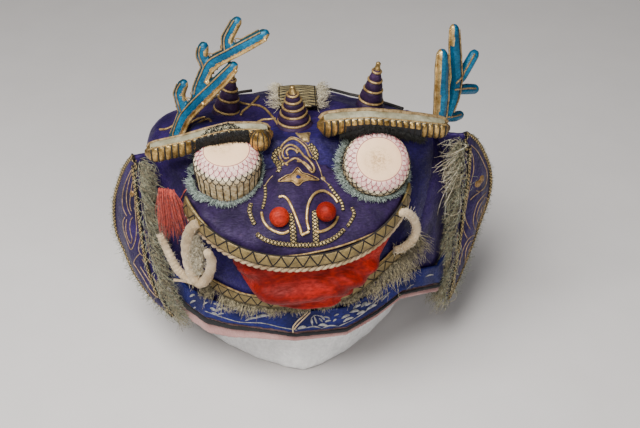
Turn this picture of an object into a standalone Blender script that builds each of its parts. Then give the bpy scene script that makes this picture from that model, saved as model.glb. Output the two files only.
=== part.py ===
"""Child's qilin festival hat, standing on a plain block of foam.

The padded satin crown carries an animal's face: a cheek and forehead pad, a muzzle with
a braided lip, a satin tongue, two drum-shaped eyes, ribbed brows, three horns, a pair of
padded antlers and two leaf-shaped ears edged with fringe.

Tables are in millimetres and every mesh is made in metres. X is the wearer's-eye view's
right, Y points away from the face and Z is up. The foam block's base lies at Z = 0.
"""

import math

import bmesh
import bpy
from mathutils import Matrix, Vector
from mathutils.bvhtree import BVHTree

MM = 0.001
GAP = 0.30 * MM            # air kept between two pieces that lie on each other
CROWN_WALL = 3.0           # padded satin over a stiff lining
CROWN_LOW = 46             # height of the crown's own lower edge
CROWN_SIDES = 30
CROWN_SAG = 6.5
RIM_LOW = 45.5             # lower edge of the embroidered band where it lies level
BAND_TOP = 58              # top of the embroidered band
DENT_TOP = 92              # the crown is round again from here up
BAND_WALL = 2.0
BINDING_WALL = 1.5
LINING_WALL = 1.6
LIP_LOW = 100.6            # lower and upper edge of the braid on the upper lip
LIP_HIGH = 107.8
PIPING_HEIGHT = 98.2
MUZZLE_TOP = 132           # the smile of the lip fades out up to here
JAW_LOW = 6.5              # how far the pad runs below the middle of the lower lip
PAD_SIDES = 18
MUZZLE_SIDES = 20
MUZZLE_MIDDLE = -4.5
TONGUE_SIDES = 13
EYE_SIDES = 15
HORN_SIDES = 8
BROW_RIBS = 9
BROW_FOOT = (0, 0, 0, 0, 3.5, 9.0)     # how far each corner of a brow's section runs down to the face
FLAT_ENOUGH = 0.8          # degrees between two triangles that become one face
WIDER_CUTS = (1.0, 1.07, 1.15, 1.25, 1.4, 1.6, 1.9)     # shares of the gap that a cut is tried with


class Table:
    """Rows under named columns, read in proportion between two rows."""

    def __init__(self, columns, rows):
        self.columns = columns.split()
        self.rows = rows

    def column(self, name):
        place = self.columns.index(name)
        return [row[place] for row in self.rows]

    def at(self, key):
        keys = self.column(self.columns[0])
        low = 0
        while low < len(keys) - 2 and key > keys[low + 1]:
            low += 1
        share = (key - keys[low]) / (keys[low + 1] - keys[low])
        mixed = [a + (b - a) * share for a, b in zip(self.rows[low], self.rows[low + 1])]
        return dict(zip(self.columns, mixed))

    def points(self, prefix=""):
        names = [prefix + axis for axis in "xyz"]
        places = [self.columns.index(name) for name in names]
        return [Vector([row[place] for place in places]) for row in self.rows]


CROWN = Table(
    "height half_width front back shift power",
    [
        (30, 79.0, -83, 81, 5.0, 2.5),
        (46, 80.0, -82, 83, 4.6, 2.5),
        (58, 82.0, -82, 85, 4.2, 2.5),
        (92, 85.5, -72.5, 77, 2.4, 2.45),
        (106, 85.0, -66, 62, 1.2, 2.4),
        (117, 83.0, -60, 47, -0.6, 2.4),
        (126, 79.5, -56, 34, -2.4, 2.35),
        (133, 73.0, -51, 23, -4.0, 2.3),
        (138.5, 60.0, -44, 12, -5.0, 2.2),
        (142, 36.0, -34, 0, -4.0, 2.1),
    ],
)
CROWN_TOP = (-3.5, -17.0, 143.2)

FOAM = Table(
    "height half_width half_depth middle_x middle_y power",
    [
        (0, 68.0, 67.0, -3.0, -2.0, 1.4),
        (2, 70.0, 69.0, -3.0, -2.0, 1.4),
        (60, 72.0, 68.5, -1.5, -2.0, 1.55),
        (150, 74.0, 68.5, 0.5, -2.0, 1.8),
    ],
)

# turn is the way round the rim in degrees, where 270 is the middle of the face; binding and
# lining are the heights of the two edges that show below the band
RIM_WAVE = Table(
    "turn rise dent binding lining",
    [
        (0, 0.0, 0.0, 3.0, 3.0),
        (90, 0.5, 0.0, 3.0, 3.0),
        (180, 0.0, 0.0, 3.5, 5.0),
        (215, 1.0, 0.5, 4.0, 7.0),
        (229, -0.5, 0.5, 3.5, 7.5),
        (247, 1.5, 0.0, 2.5, 5.5),
        (259, 2.0, 0.5, 2.0, 5.0),
        (266, -2.0, 1.0, 2.0, 3.0),
        (274, -1.5, 0.5, 2.5, 3.0),
        (284, 2.5, -2.5, 2.2, 2.8),
        (293, 7.5, -4.0, 2.2, 2.8),
        (303, 12.0, -5.0, 2.2, 2.8),
        (310, 8.5, -3.5, 2.2, 3.0),
        (317, 3.0, -1.0, 2.2, 3.2),
        (330, -1.5, 0.5, 2.5, 3.0),
        (345, -1.5, 0.5, 3.0, 3.0),
        (360, 0.0, 0.0, 3.0, 3.0),
    ],
)

PAD_BACK = -22
PAD_LOW = 62
PAD = Table(
    "height half_width front shift power",
    [
        (62, 66.0, -86.5, 0.0, 2.1),
        (67, 69.5, -90.0, 0.5, 2.1),
        (76, 71.0, -89.5, 1.0, 2.15),
        (90, 71.5, -82.0, 1.5, 2.35),
        (102, 71.5, -76.5, 2.0, 2.6),
        (113, 71.5, -67.5, 2.5, 2.8),
        (123, 71.0, -59.0, 3.0, 3.0),
        (131, 70.0, -54.5, 3.5, 3.0),
        (137, 67.5, -51.0, 3.5, 2.9),
        (143, 58.0, -44.5, 2.5, 2.6),
    ],
)

MUZZLE_BACK = -45
MUZZLE = Table(
    "height half_width front shift power",
    [
        (99.2, 56.0, -93.0, -4.5, 2.3),
        (LIP_LOW, 60.0, -97.3, -4.5, 2.3),
        (LIP_HIGH, 59.5, -96.3, -4.5, 2.3),
        (112.5, 57.0, -91.5, -4.5, 2.3),
        (117.5, 51.0, -83.5, -4.8, 2.25),
        (122.5, 42.0, -74.0, -5.0, 2.2),
        (127.5, 31.0, -65.0, -4.6, 2.1),
        (132.5, 19.0, -57.5, -4.2, 2.0),
        (137.5, 11.0, -52.5, -4.0, 2.0),
    ],
)

TONGUE_BACK = -66
TONGUE = Table(
    "height half_width front shift power",
    [
        (66.3, 16.5, -93.5, -1.5, 2.6),
        (67.6, 22.0, -96.8, -1.2, 2.8),
        (72.0, 28.5, -98.5, -1.5, 3.0),
        (79.0, 35.5, -98.3, -1.8, 3.2),
        (96.3, 46.0, -92.5, 0.4, 3.1),
    ],
)

LOWER_LIP = Table(
    "x height",
    [
        (-68, 69.5),
        (-53, 69.0),
        (-40, 68.5),
        (-20, 68.8),
        (0, 69.8),
        (18, 72.5),
        (32, 79.5),
        (44, 86.0),
        (53, 87.2),
        (62, 84.0),
        (74, 79.0),
    ],
)

EYE_PROFILE = Table(
    "height radius",
    [(-12.0, 16.4), (4.0, 17.2), (8.5, 17.5), (12.0, 16.4), (14.8, 14.2), (16.4, 11.6), (17.0, 0.0)],
)
EYES = {
    "left": {"seat": (-40.1, -52.5, 129.5), "rise": 79.0, "swing": -8.0},
    "right": {"seat": (37.0, -54.5, 127.4), "rise": 50.0, "swing": 3.0},
}

BROW_LEFT = Table(
    "x y z half_height half_depth",
    [
        (-82.5, -44.0, 140.0, 3.6, 3.2),
        (-76.0, -45.2, 141.2, 5.4, 4.2),
        (-62.0, -46.8, 144.8, 5.2, 4.3),
        (-50.0, -47.4, 149.2, 4.0, 4.3),
        (-39.0, -47.4, 151.8, 3.6, 4.3),
        (-28.0, -47.4, 151.2, 3.8, 4.2),
        (-21.0, -47.2, 148.6, 5.8, 4.6),
        (-15.5, -46.5, 147.8, 3.6, 3.4),
    ],
)
BROW_RIGHT = Table(
    "x y z half_height half_depth",
    [
        (7.5, -46.5, 151.5, 3.8, 3.6),
        (13.0, -47.0, 151.6, 6.2, 5.0),
        (21.0, -47.0, 153.0, 5.0, 5.0),
        (34.0, -47.0, 153.6, 4.0, 5.0),
        (48.0, -46.8, 150.8, 4.6, 5.0),
        (62.0, -46.0, 147.0, 5.4, 5.0),
        (73.0, -44.5, 143.8, 5.2, 4.4),
        (79.0, -43.5, 142.5, 3.4, 3.2),
    ],
)

HORN_PROFILE = Table(
    "share radius",
    [
        (0.0, 1.0),
        (0.26, 0.93),
        (0.30, 0.98),
        (0.50, 0.68),
        (0.54, 0.74),
        (0.76, 0.38),
        (0.80, 0.42),
        (0.93, 0.15),
        (1.0, 0.0),
    ],
)
HORNS = {
    "center": {"base": (-2.5, -29.0, 136.0), "tip": (-3.4, -28.0, 165.0), "radius": 11.5},
    "left": {"base": (-39.2, -10.5, 133.0), "tip": (-33.4, -7.0, 164.5), "radius": 9.5},
    "right": {"base": (40.8, -6.5, 131.0), "tip": (46.4, -4.5, 162.8), "radius": 8.9},
}

# in runs from the antler's foot towards the middle of the hat, up runs along its stem
ANTLER_LEFT_FOOT = (-65.8, -25.0, 137.5)
ANTLER_LEFT = {
    "stem": Table(
        "in up radius",
        [
            (-6, -12, 3.6),
            (0.8, 0.9, 3.8),
            (6.2, 12.2, 4.1),
            (14.1, 21.2, 4.1),
            (29.2, 37.0, 3.7),
            (35.2, 43.8, 3.0),
        ],
    ),
    "main": Table(
        "in up radius",
        [
            (13.5, 23, 2.8),
            (14.8, 27.8, 3.2),
            (18.0, 34.8, 3.5),
            (21.4, 41.4, 3.5),
            (26.2, 45.9, 3.4),
            (42.3, 56.2, 3.3),
            (53.2, 63.4, 3.1),
        ],
    ),
    "upper": Table(
        "in up radius",
        [
            (32.6, 50, 2.8),
            (33.0, 58.0, 3.3),
            (38.6, 68.0, 2.9),
        ],
    ),
    "middle": Table(
        "in up radius",
        [
            (20.4, 40.5, 2.8),
            (18.3, 47.0, 3.3),
            (19.2, 51.8, 3.0),
        ],
    ),
    "lower": Table(
        "in up radius",
        [
            (5.6, 13.5, 2.8),
            (3.8, 23.6, 3.4),
            (6.4, 29.6, 3.0),
        ],
    ),
}
ANTLER_RIGHT_FOOT = (77.3, -25.0, 137.5)
ANTLER_RIGHT = {
    "stem": Table(
        "x y z radius",
        [
            (-5, 2, -12, 3.6),
            (-0.1, 0, 0, 4.0),
            (0.1, 0, 13.3, 4.2),
            (-0.5, 0, 30, 4.0),
            (-0.8, 0, 39.5, 3.2),
        ],
    ),
    "trunk": Table(
        "x y z radius",
        [
            (1, 1, -3, 3.0),
            (5.2, 4, 0, 3.4),
            (8.4, 7, 8.6, 3.6),
            (9.6, 8.5, 21, 3.6),
            (7.6, 8, 38, 3.4),
            (6.4, 7, 50.5, 2.8),
        ],
    ),
    "upper": Table(
        "x y z radius",
        [
            (9.4, 8.5, 15.5, 2.8),
            (13.5, 11, 18.8, 3.1),
            (21, 16, 29.4, 3.1),
        ],
    ),
    "lower": Table(
        "x y z radius",
        [
            (8.6, 7.4, 12.4, 2.8),
            (17.6, 13, 9.3, 3.3),
            (22.8, 16.4, 6.9, 3.1),
        ],
    ),
    "spur": Table(
        "x y z radius",
        [
            (4, 3.5, -2.4, 2.6),
            (10.6, 9, -5.6, 3.1),
            (14.6, 12.4, -6.8, 2.8),
        ],
    ),
}

EAR_LEFT = Table(
    "inner_x inner_y inner_z outer_x outer_y outer_z",
    [
        (-87.0, -29.0, 129.0, -89.0, -25.5, 127.0),
        (-87.3, -29.5, 120.0, -94.0, -18.0, 115.5),
        (-87.2, -30.0, 109.0, -98.0, -13.0, 103.5),
        (-87.0, -31.0, 97.0, -101.5, -9.5, 91.0),
        (-86.6, -33.0, 84.5, -103.3, -8.0, 78.0),
        (-85.8, -37.0, 71.5, -103.0, -8.5, 65.0),
        (-84.0, -42.5, 60.0, -99.4, -13.5, 55.0),
        (-81.0, -47.5, 50.0, -94.6, -23.5, 46.0),
        (-77.5, -51.5, 42.5, -86.6, -37.0, 40.0),
        (-74.0, -54.0, 37.5, -76.0, -51.0, 36.5),
    ],
)
EAR_RIGHT = Table(
    "inner_x inner_y inner_z outer_x outer_y outer_z",
    [
        (90.0, -27.5, 128.0, 92.5, -24.0, 127.0),
        (91.8, -28.5, 118.5, 100.0, -18.0, 117.5),
        (92.2, -29.5, 108.0, 106.0, -13.5, 106.0),
        (91.8, -30.5, 96.5, 111.0, -10.5, 93.0),
        (91.0, -31.5, 84.5, 113.0, -9.0, 80.0),
        (89.6, -34.5, 71.0, 111.4, -10.0, 67.5),
        (87.4, -39.5, 59.0, 106.0, -15.5, 55.0),
        (85.0, -45.0, 48.5, 98.5, -26.5, 44.0),
        (83.0, -49.0, 39.5, 90.6, -38.5, 36.5),
        (81.0, -52.0, 32.5, 83.0, -49.8, 32.0),
    ],
)
EAR_WALL = 3.6

COLOURS = {
    # name: red, green, blue, roughness, metallic
    "foam": (0.83, 0.83, 0.82, 0.95, 0.0),
    "violet_satin": (0.085, 0.050, 0.240, 0.38, 0.0),
    "blue_satin": (0.050, 0.060, 0.300, 0.42, 0.0),
    "black_cloth": (0.022, 0.020, 0.024, 0.85, 0.0),
    "pink_cloth": (0.600, 0.330, 0.320, 0.88, 0.0),
    "gold_braid": (0.560, 0.430, 0.200, 0.42, 0.6),
    "cream_cord": (0.760, 0.690, 0.560, 0.80, 0.0),
    "red_satin": (0.760, 0.085, 0.030, 0.40, 0.0),
    "red_bead": (0.750, 0.050, 0.020, 0.35, 0.0),
    "eye_cloth": (0.800, 0.680, 0.580, 0.75, 0.0),
    "green_fringe": (0.420, 0.480, 0.400, 0.90, 0.0),
    "tan_fur": (0.480, 0.430, 0.310, 0.95, 0.0),
    "turquoise_satin": (0.010, 0.300, 0.420, 0.45, 0.0),
    "coral_thread": (0.700, 0.130, 0.070, 0.85, 0.0),
}

hat_parts = None
cutter_parts = None


def clear_scene():
    for item in list(bpy.data.objects):
        bpy.data.objects.remove(item, do_unlink=True)


def make_collections():
    global hat_parts, cutter_parts
    hat_parts = bpy.data.collections.new("qilin_hat")
    cutter_parts = bpy.data.collections.new("cutters")
    for collection in (hat_parts, cutter_parts):
        bpy.context.scene.collection.children.link(collection)


def paint(piece, colour):
    red, green, blue, roughness, metallic = COLOURS[colour]
    look = bpy.data.materials.new(piece.name + "_" + colour)
    look.use_nodes = True
    shader = look.node_tree.nodes["Principled BSDF"]
    shader.inputs["Base Color"].default_value = (red, green, blue, 1.0)
    shader.inputs["Roughness"].default_value = roughness
    shader.inputs["Metallic"].default_value = metallic
    look.diffuse_color = (red, green, blue, 1.0)
    piece.data.materials.clear()
    piece.data.materials.append(look)


def piece_from(name, mesh, collection=None):
    piece = bpy.data.objects.new(name, mesh)
    (collection or hat_parts).objects.link(piece)
    return piece


def baked(piece):
    """Swap a piece's modifiers, or its curve, for the mesh that they make."""
    bpy.context.view_layer.update()
    graph = bpy.context.evaluated_depsgraph_get()
    mesh = bpy.data.meshes.new_from_object(piece.evaluated_get(graph))
    mesh.transform(piece.matrix_world)
    name = piece.name
    users = piece.users_collection[0]
    bpy.data.objects.remove(piece, do_unlink=True)
    shape = bmesh.new()
    shape.from_mesh(mesh)
    bmesh.ops.remove_doubles(shape, verts=shape.verts[:], dist=0.004 * MM)
    bmesh.ops.recalc_face_normals(shape, faces=shape.faces[:])
    shape.to_mesh(mesh)
    shape.free()
    return piece_from(name, mesh, users)


def surface(name, rings, closed_rings=True, low_cap=None, high_cap=None):
    """Loft through rings of points in millimetres, each ring unlike the last.

    A cap is "fan", which closes the end round its own middle, or a point to close on.
    """
    shape = bmesh.new()
    rows = [[shape.verts.new(Vector(point) * MM) for point in ring] for ring in rings]
    count = len(rings[0])
    steps = count if closed_rings else count - 1
    for low, high in zip(rows, rows[1:]):
        for i in range(steps):
            j = (i + 1) % count
            shape.faces.new((low[i], low[j], high[j], high[i]))
    for row, cap, flip in ((rows[0], low_cap, True), (rows[-1], high_cap, False)):
        if cap is None:
            continue
        if cap == "fan":
            middle = sum((v.co for v in row), Vector()) / count
        else:
            middle = Vector(cap) * MM
        tip = shape.verts.new(middle)
        for i in range(count):
            j = (i + 1) % count
            shape.faces.new((row[j], row[i], tip) if flip else (row[i], row[j], tip))
    bmesh.ops.triangulate(shape, faces=shape.faces[:], quad_method="FIXED")
    mesh = bpy.data.meshes.new(name)
    shape.to_mesh(mesh)
    shape.free()
    return piece_from(name, mesh)


def thicken(piece, wall, offset, even=True):
    wall_maker = piece.modifiers.new("wall", "SOLIDIFY")
    wall_maker.thickness = wall * MM
    wall_maker.offset = offset
    wall_maker.use_even_offset = even
    wall_maker.use_rim = True
    return baked(piece)


def swollen(mesh, distance, name):
    """Copy of a closed mesh with its skin moved outwards."""
    shape = bmesh.new()
    shape.from_mesh(mesh)
    bmesh.ops.triangulate(shape, faces=shape.faces[:])
    shape.normal_update()
    moves = [(v, v.normal * distance * min(v.calc_shell_factor(), 1.5)) for v in shape.verts]
    for v, move in moves:
        v.co += move
    copy = bpy.data.meshes.new(name)
    shape.to_mesh(copy)
    shape.free()
    cutter = piece_from(name, copy, cutter_parts)
    cutter.hide_render = True
    cutter.display_type = "WIRE"
    return cutter


def combine(piece, other, operation):
    joint = piece.modifiers.new("join", "BOOLEAN")
    joint.operation = operation
    joint.solver = "EXACT"
    joint.object = other
    return baked(piece)


def largest_body(piece):
    """Drop the crumbs that a cut leaves beside the main body."""
    shape = bmesh.new()
    shape.from_mesh(piece.data)
    bmesh.ops.triangulate(shape, faces=shape.faces[:])
    left = set(shape.verts)
    bodies = []
    while left:
        start = left.pop()
        body, edge = {start}, [start]
        while edge:
            for link in edge.pop().link_edges:
                for vert in link.verts:
                    if vert not in body:
                        body.add(vert)
                        edge.append(vert)
        left -= body
        bodies.append(body)
    bodies.sort(key=len, reverse=True)
    for body in bodies[1:]:
        bmesh.ops.delete(shape, geom=list(body), context="VERTS")
    whole = shape.copy()
    flat = math.radians(FLAT_ENOUGH)
    bmesh.ops.dissolve_limit(shape, angle_limit=flat, verts=shape.verts[:], edges=shape.edges[:])
    bmesh.ops.triangulate(shape, faces=shape.faces[:])
    bmesh.ops.dissolve_degenerate(shape, dist=0.01 * MM, edges=shape.edges[:])
    bmesh.ops.triangulate(shape, faces=shape.faces[:])
    if any(len(edge.link_faces) != 2 for edge in shape.edges):
        shape.free()
        shape = whole
    bmesh.ops.recalc_face_normals(shape, faces=shape.faces[:])
    shape.to_mesh(piece.data)
    shape.free()
    return piece


def volume_of(mesh):
    shape = bmesh.new()
    shape.from_mesh(mesh)
    volume = shape.calc_volume()
    shape.free()
    return volume


def finder_of(piece):
    """Search tree that finds where a line meets a piece."""
    faces = [face.vertices[:] for face in piece.data.polygons]
    return BVHTree.FromPolygons([vert.co for vert in piece.data.vertices], faces)


def seat(piece, bases, gap=GAP):
    """Cut a piece back so that it clears each base by the gap.

    A cut that takes nearly everything has gone wrong, and is made again a hair wider.
    """
    for base in bases:
        for widen in WIDER_CUTS:
            cutter = swollen(base.data, gap * widen, "room_for_" + base.name)
            trial = piece_from(piece.name + "_trial", piece.data.copy())
            trial = combine(trial, cutter, "DIFFERENCE")
            bpy.data.objects.remove(cutter, do_unlink=True)
            if widen == WIDER_CUTS[-1] or volume_of(trial.data) > 0.05 * volume_of(piece.data):
                break
            bpy.data.objects.remove(trial, do_unlink=True)
        name = piece.name
        bpy.data.objects.remove(piece, do_unlink=True)
        trial.name = name
        piece = largest_body(trial)
    return piece


def finish(piece, colour):
    """Smooth shading, a colour and an origin at the piece's own middle."""
    paint(piece, colour)
    corners = [v.co for v in piece.data.vertices]
    low = Vector([min(c[i] for c in corners) for i in range(3)])
    high = Vector([max(c[i] for c in corners) for i in range(3)])
    middle = (low + high) / 2
    piece.data.transform(Matrix.Translation(-middle))
    piece.location = middle
    piece.data.shade_smooth()
    piece.data.set_sharp_from_angle(angle=math.radians(40))
    return piece


def signed_power(value, power):
    return math.copysign(abs(value) ** power, value)


def wobble(step, seed=0.0):
    """Small uneven number between -1 and 1, the same on every run."""
    wave = math.sin(step * 12.9898 + seed * 78.233) * 43758.5453
    return 2.0 * (wave - math.floor(wave)) - 1.0


def smooth_path(points, per_span, closed=False):
    """Points along an even curve that goes through each given point."""
    points = [Vector(p) for p in points]
    count = len(points)
    spans = count if closed else count - 1
    path = []
    for i in range(spans):
        if closed:
            a, b, c, d = (points[(i + k - 1) % count] for k in range(4))
        else:
            a, b = points[max(i - 1, 0)], points[i]
            c, d = points[i + 1], points[min(i + 2, count - 1)]
        for k in range(per_span):
            t = k / per_span
            path.append(
                0.5 * (2 * b + (c - a) * t + (2 * a - 5 * b + 4 * c - d) * t * t
                       + (3 * b - a - 3 * c + d) * t ** 3)
            )
    if not closed:
        path.append(points[-1])
    return path


def cord(name, points, radius, closed=False, radii=None):
    """Round cord or tube along points in millimetres."""
    line = bpy.data.curves.new(name, "CURVE")
    line.dimensions = "3D"
    line.bevel_depth = radius * MM
    line.bevel_resolution = 2
    line.use_fill_caps = True
    spline = line.splines.new("POLY")
    spline.points.add(len(points) - 1)
    for i, point in enumerate(points):
        spline.points[i].co = (*(Vector(point) * MM), 1.0)
        if radii:
            spline.points[i].radius = radii[i] / radius
    spline.use_cyclic_u = closed
    return baked(piece_from(name, line))


def comb(name, line, reach, locks, wall, closed=False, notch=0.5, seed=0.0):
    """Fringe in pointed locks, fused to a strip that runs along a line.

    line and reach take 0..1 along the fringe and give a point and the lock's own run.
    """
    shape = bmesh.new()
    steps = locks if closed else locks + 1
    root, cut = [], []
    for i in range(steps):
        t = i / locks
        root.append(shape.verts.new(line(t) * MM))
        cut.append(shape.verts.new((line(t) + reach(t) * notch) * MM))
    for i in range(locks):
        t = (i + 0.5) / locks
        j = (i + 1) % steps
        lean = (line((i + 1) / locks) - line(i / locks)) * 0.35 * wobble(i, seed)
        tip = shape.verts.new((line(t) + reach(t) * (1.0 + 0.16 * wobble(i, seed + 3)) + lean) * MM)
        shape.faces.new((root[i], root[j], cut[j], cut[i]))
        shape.faces.new((cut[i], cut[j], tip))
    mesh = bpy.data.meshes.new(name)
    shape.to_mesh(mesh)
    shape.free()
    return thicken(piece_from(name, mesh), wall, 0.0, even=False)


def section(row, turn, middle, depth, grow=0.0, power=None):
    bend = 2.0 / (power or row["power"])
    x = row["shift"] + (row["half_width"] + grow) * signed_power(math.cos(turn), bend)
    y = middle + (depth + grow) * signed_power(math.sin(turn), bend)
    return x, y


def ease(value, low, high):
    share = min(max((value - low) / (high - low), 0.0), 1.0)
    return share * share * (3.0 - 2.0 * share)


def crown_sag(x, y, height):
    """The padding has sunk behind the right brow."""
    return CROWN_SAG * ease(x, 10, 44) * ease(y, -28, 6) * ease(height, 88, 116)


def rim_wave(turn):
    return RIM_WAVE.at(math.degrees(turn) % 360)


def rim_lift(turn):
    """How far the crown and its band are drawn up where the rim rises."""
    return 0.85 * max(rim_wave(turn)["rise"], 0.0)


def crown_point(turn, height, grow=0.0):
    """Place on the crown's skin, which the rim's dents reach up into."""
    row = CROWN.at(height)
    reach = min(max((DENT_TOP - height) / (DENT_TOP - BAND_TOP), 0.0), 1.0)
    grow += rim_wave(turn)["dent"] * reach
    middle = (row["front"] + row["back"]) / 2
    depth = (row["back"] - row["front"]) / 2
    x, y = section(row, turn, middle, depth, grow)
    return Vector((x, y, height - crown_sag(x, y, height)))


def crown_turns():
    return [2 * math.pi * i / CROWN_SIDES for i in range(CROWN_SIDES)]


def make_crown():
    heights = [h for h in CROWN.column("height") if h > CROWN_LOW]
    rings = [[crown_point(turn, CROWN_LOW + rim_lift(turn)) for turn in crown_turns()]]
    rings += [[crown_point(turn, h) for turn in crown_turns()] for h in heights]
    crown = surface("crown", rings, high_cap=CROWN_TOP)
    return thicken(crown, CROWN_WALL, -1.0)


def make_crown_core(name, inset=0.0, low=30):
    """Solid dome of the crown's outer skin, or of its inner room."""
    heights = [low] + [h for h in CROWN.column("height") if h >= CROWN_LOW]
    rings = []
    for h in heights:
        rings.append([crown_point(turn, max(h, 30)) for turn in crown_turns()])
        if h < CROWN_LOW:
            for point in rings[-1]:
                point.z = h
    core = surface(name, rings, low_cap="fan", high_cap=CROWN_TOP)
    core = baked(core)
    if inset:
        shape = bmesh.new()
        shape.from_mesh(core.data)
        shape.normal_update()
        moves = [(v, v.normal * -inset * MM * min(v.calc_shell_factor(), 1.6)) for v in shape.verts]
        for v, move in moves:
            v.co += move
        shape.to_mesh(core.data)
        shape.free()
    return core


def make_foam(inner_core):
    rings = []
    for height in FOAM.column("height"):
        row = FOAM.at(height)
        bend = 2.0 / row["power"]
        ring = []
        for i in range(24):
            turn = 2 * math.pi * i / 24
            x = row["middle_x"] + row["half_width"] * signed_power(math.cos(turn), bend)
            y = row["middle_y"] + row["half_depth"] * signed_power(math.sin(turn), bend)
            ring.append((x, y, height))
        rings.append(ring)
    block = surface("foam_stand", rings, low_cap="fan", high_cap="fan")
    return largest_body(combine(baked(block), inner_core, "INTERSECT"))


def ring_strip(name, rows, wall):
    """Cloth ring; a row gives how far out it lies, and its height at each turn."""
    rings = []
    for grow, height_at in rows:
        ring = []
        for turn in crown_turns():
            height = height_at(turn)
            point = crown_point(turn, max(height, CROWN.rows[0][0]), grow)
            point.z = height
            ring.append(point)
        rings.append(ring)
    return thicken(surface(name, rings), wall, -1.0)


def make_rim():
    """Embroidered band, its black binding, and the lining that shows below them."""
    def edge(turn):
        return RIM_LOW + rim_wave(turn)["rise"]

    def top(turn):
        return BAND_TOP + rim_lift(turn)

    def bound(turn):
        return edge(turn) - rim_wave(turn)["binding"]

    band_rows = [
        (5.0, lambda turn: edge(turn) + 0.7),
        (3.9, lambda turn: 0.5 * (edge(turn) + top(turn))),
        (2.8, top),
    ]
    binding_rows = [
        (5.2, bound),
        (5.4, lambda turn: edge(turn) - 0.35),
    ]
    lining_rows = [
        (4.4, lambda turn: bound(turn) - rim_wave(turn)["lining"]),
        (3.6, lambda turn: bound(turn) - 1.2),
        (0.3, lambda turn: CROWN_LOW - 0.4 + rim_lift(turn)),
    ]
    return (
        ring_strip("rim_band", band_rows, BAND_WALL),
        ring_strip("rim_binding", binding_rows, BINDING_WALL),
        ring_strip("rim_lining", lining_rows, LINING_WALL),
    )


def half_section(table, height, sides, back, lift):
    """Front half of a rounded section, closed by a straight back."""
    row = table.at(height)
    depth = back - row["front"]
    ring = []
    for i in range(sides + 1):
        turn = math.pi + math.pi * i / sides
        x, y = section(row, turn, back, depth)
        ring.append(Vector((x, y, height + lift(x, height))))
    return ring


def pad_lift(x, height):
    """The pad's lower edge keeps an even way below the lower lip."""
    fade = max(0.0, (104.0 - height) / (104.0 - PAD_LOW))
    return fade * (LOWER_LIP.at(x)["height"] - JAW_LOW - PAD_LOW)


def smile(x):
    return 14.5 * (abs(x - MUZZLE_MIDDLE) / 57.0) ** 2.3


def muzzle_lift(x, height):
    return smile(x) * min(1.0, max(0.0, (MUZZLE_TOP - height) / (MUZZLE_TOP - LIP_HIGH)))


def tongue_lift(x, height):
    low, high = TONGUE.rows[0][0], TONGUE.rows[-1][0]
    return smile(x) * max(0.0, (height - low) / (high - low))


def stack(name, table, sides, back, lift, heights=None):
    heights = heights or table.column(table.columns[0])
    rings = [half_section(table, height, sides, back, lift) for height in heights]
    return baked(surface(name, rings, low_cap="fan", high_cap="fan"))


def make_upper_lip():
    rings = []
    for height in (LIP_LOW, LIP_HIGH):
        row = MUZZLE.at(height)
        ring = []
        for i in range(1, MUZZLE_SIDES):
            turn = math.pi + math.pi * i / MUZZLE_SIDES
            x, y = section(row, turn, MUZZLE_BACK, MUZZLE_BACK - row["front"], grow=1.75)
            ring.append(Vector((x, y, height + muzzle_lift(x, height))))
        rings.append(ring)
    return thicken(surface("upper_lip", rings, closed_rings=False), 1.3, -1.0, even=False)


def make_upper_piping():
    row = MUZZLE.at(LIP_LOW)
    points = []
    for i in range(2, MUZZLE_SIDES - 1):
        turn = math.pi + math.pi * i / MUZZLE_SIDES
        x, y = section(row, turn, MUZZLE_BACK, MUZZLE_BACK - row["front"], grow=0.9)
        points.append(Vector((x, y, PIPING_HEIGHT + smile(x))))
    return cord("upper_lip_piping", points, 1.45)


def on_face(finder, x, z):
    """Y of the face at a place, looking from the front."""
    hit = finder.ray_cast(Vector((x * MM, -0.2, z * MM)), Vector((0, 1, 0)))
    return hit[0].y / MM


def make_lower_lip(face):
    finder = finder_of(face)
    rings = []
    steps = 20
    for drop in (-3.2, 3.2):
        ring = []
        for i in range(steps + 1):
            x = -65 + 134 * i / steps
            z = LOWER_LIP.at(x)["height"] + drop
            ring.append(Vector((x, on_face(finder, x, z) - 1.9, z)))
        rings.append(ring)
    return thicken(surface("lower_lip", rings, closed_rings=False), 3.4, -1.0, even=False)


def make_jaw_fringe(face):
    finder = finder_of(face)

    def line(t):
        x = -64 + 132 * t
        z = LOWER_LIP.at(x)["height"] - 4.2
        return Vector((x, on_face(finder, x, z) - 2.2, z))

    def reach(t):
        x = -64 + 132 * t
        return Vector((x / 30.0, -3.2, -11.0))

    return comb("jaw_fringe", line, reach, 17, 1.8, seed=1.0)


def axis_of(place):
    rise, swing = math.radians(place["rise"]), math.radians(place["swing"])
    return Vector((math.sin(swing) * math.cos(rise), -math.cos(swing) * math.cos(rise), math.sin(rise)))


def turned(name, profile, sides, foot, axis):
    """Turned body: the profile runs from its top down the outer side to its foot."""
    mesh = bpy.data.meshes.new(name)
    points = [(radius * MM, 0.0, height * MM) for height, radius in reversed(profile)]
    points.append((0.0, 0.0, profile[0][0] * MM))
    mesh.from_pydata(points, [(i, i + 1) for i in range(len(points) - 1)], [])
    body = piece_from(name, mesh)
    spin = body.modifiers.new("turn", "SCREW")
    spin.axis = "Z"
    spin.steps = sides
    spin.render_steps = sides
    spin.use_merge_vertices = True
    spin.merge_threshold = 0.00002
    body.rotation_mode = "QUATERNION"
    body.rotation_quaternion = Vector((0, 0, 1)).rotation_difference(axis)
    body.location = Vector(foot) * MM
    return baked(body)


def make_eye(side):
    place = EYES[side]
    return turned("eye_" + side, EYE_PROFILE.rows, EYE_SIDES, place["seat"], axis_of(place))


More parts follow.
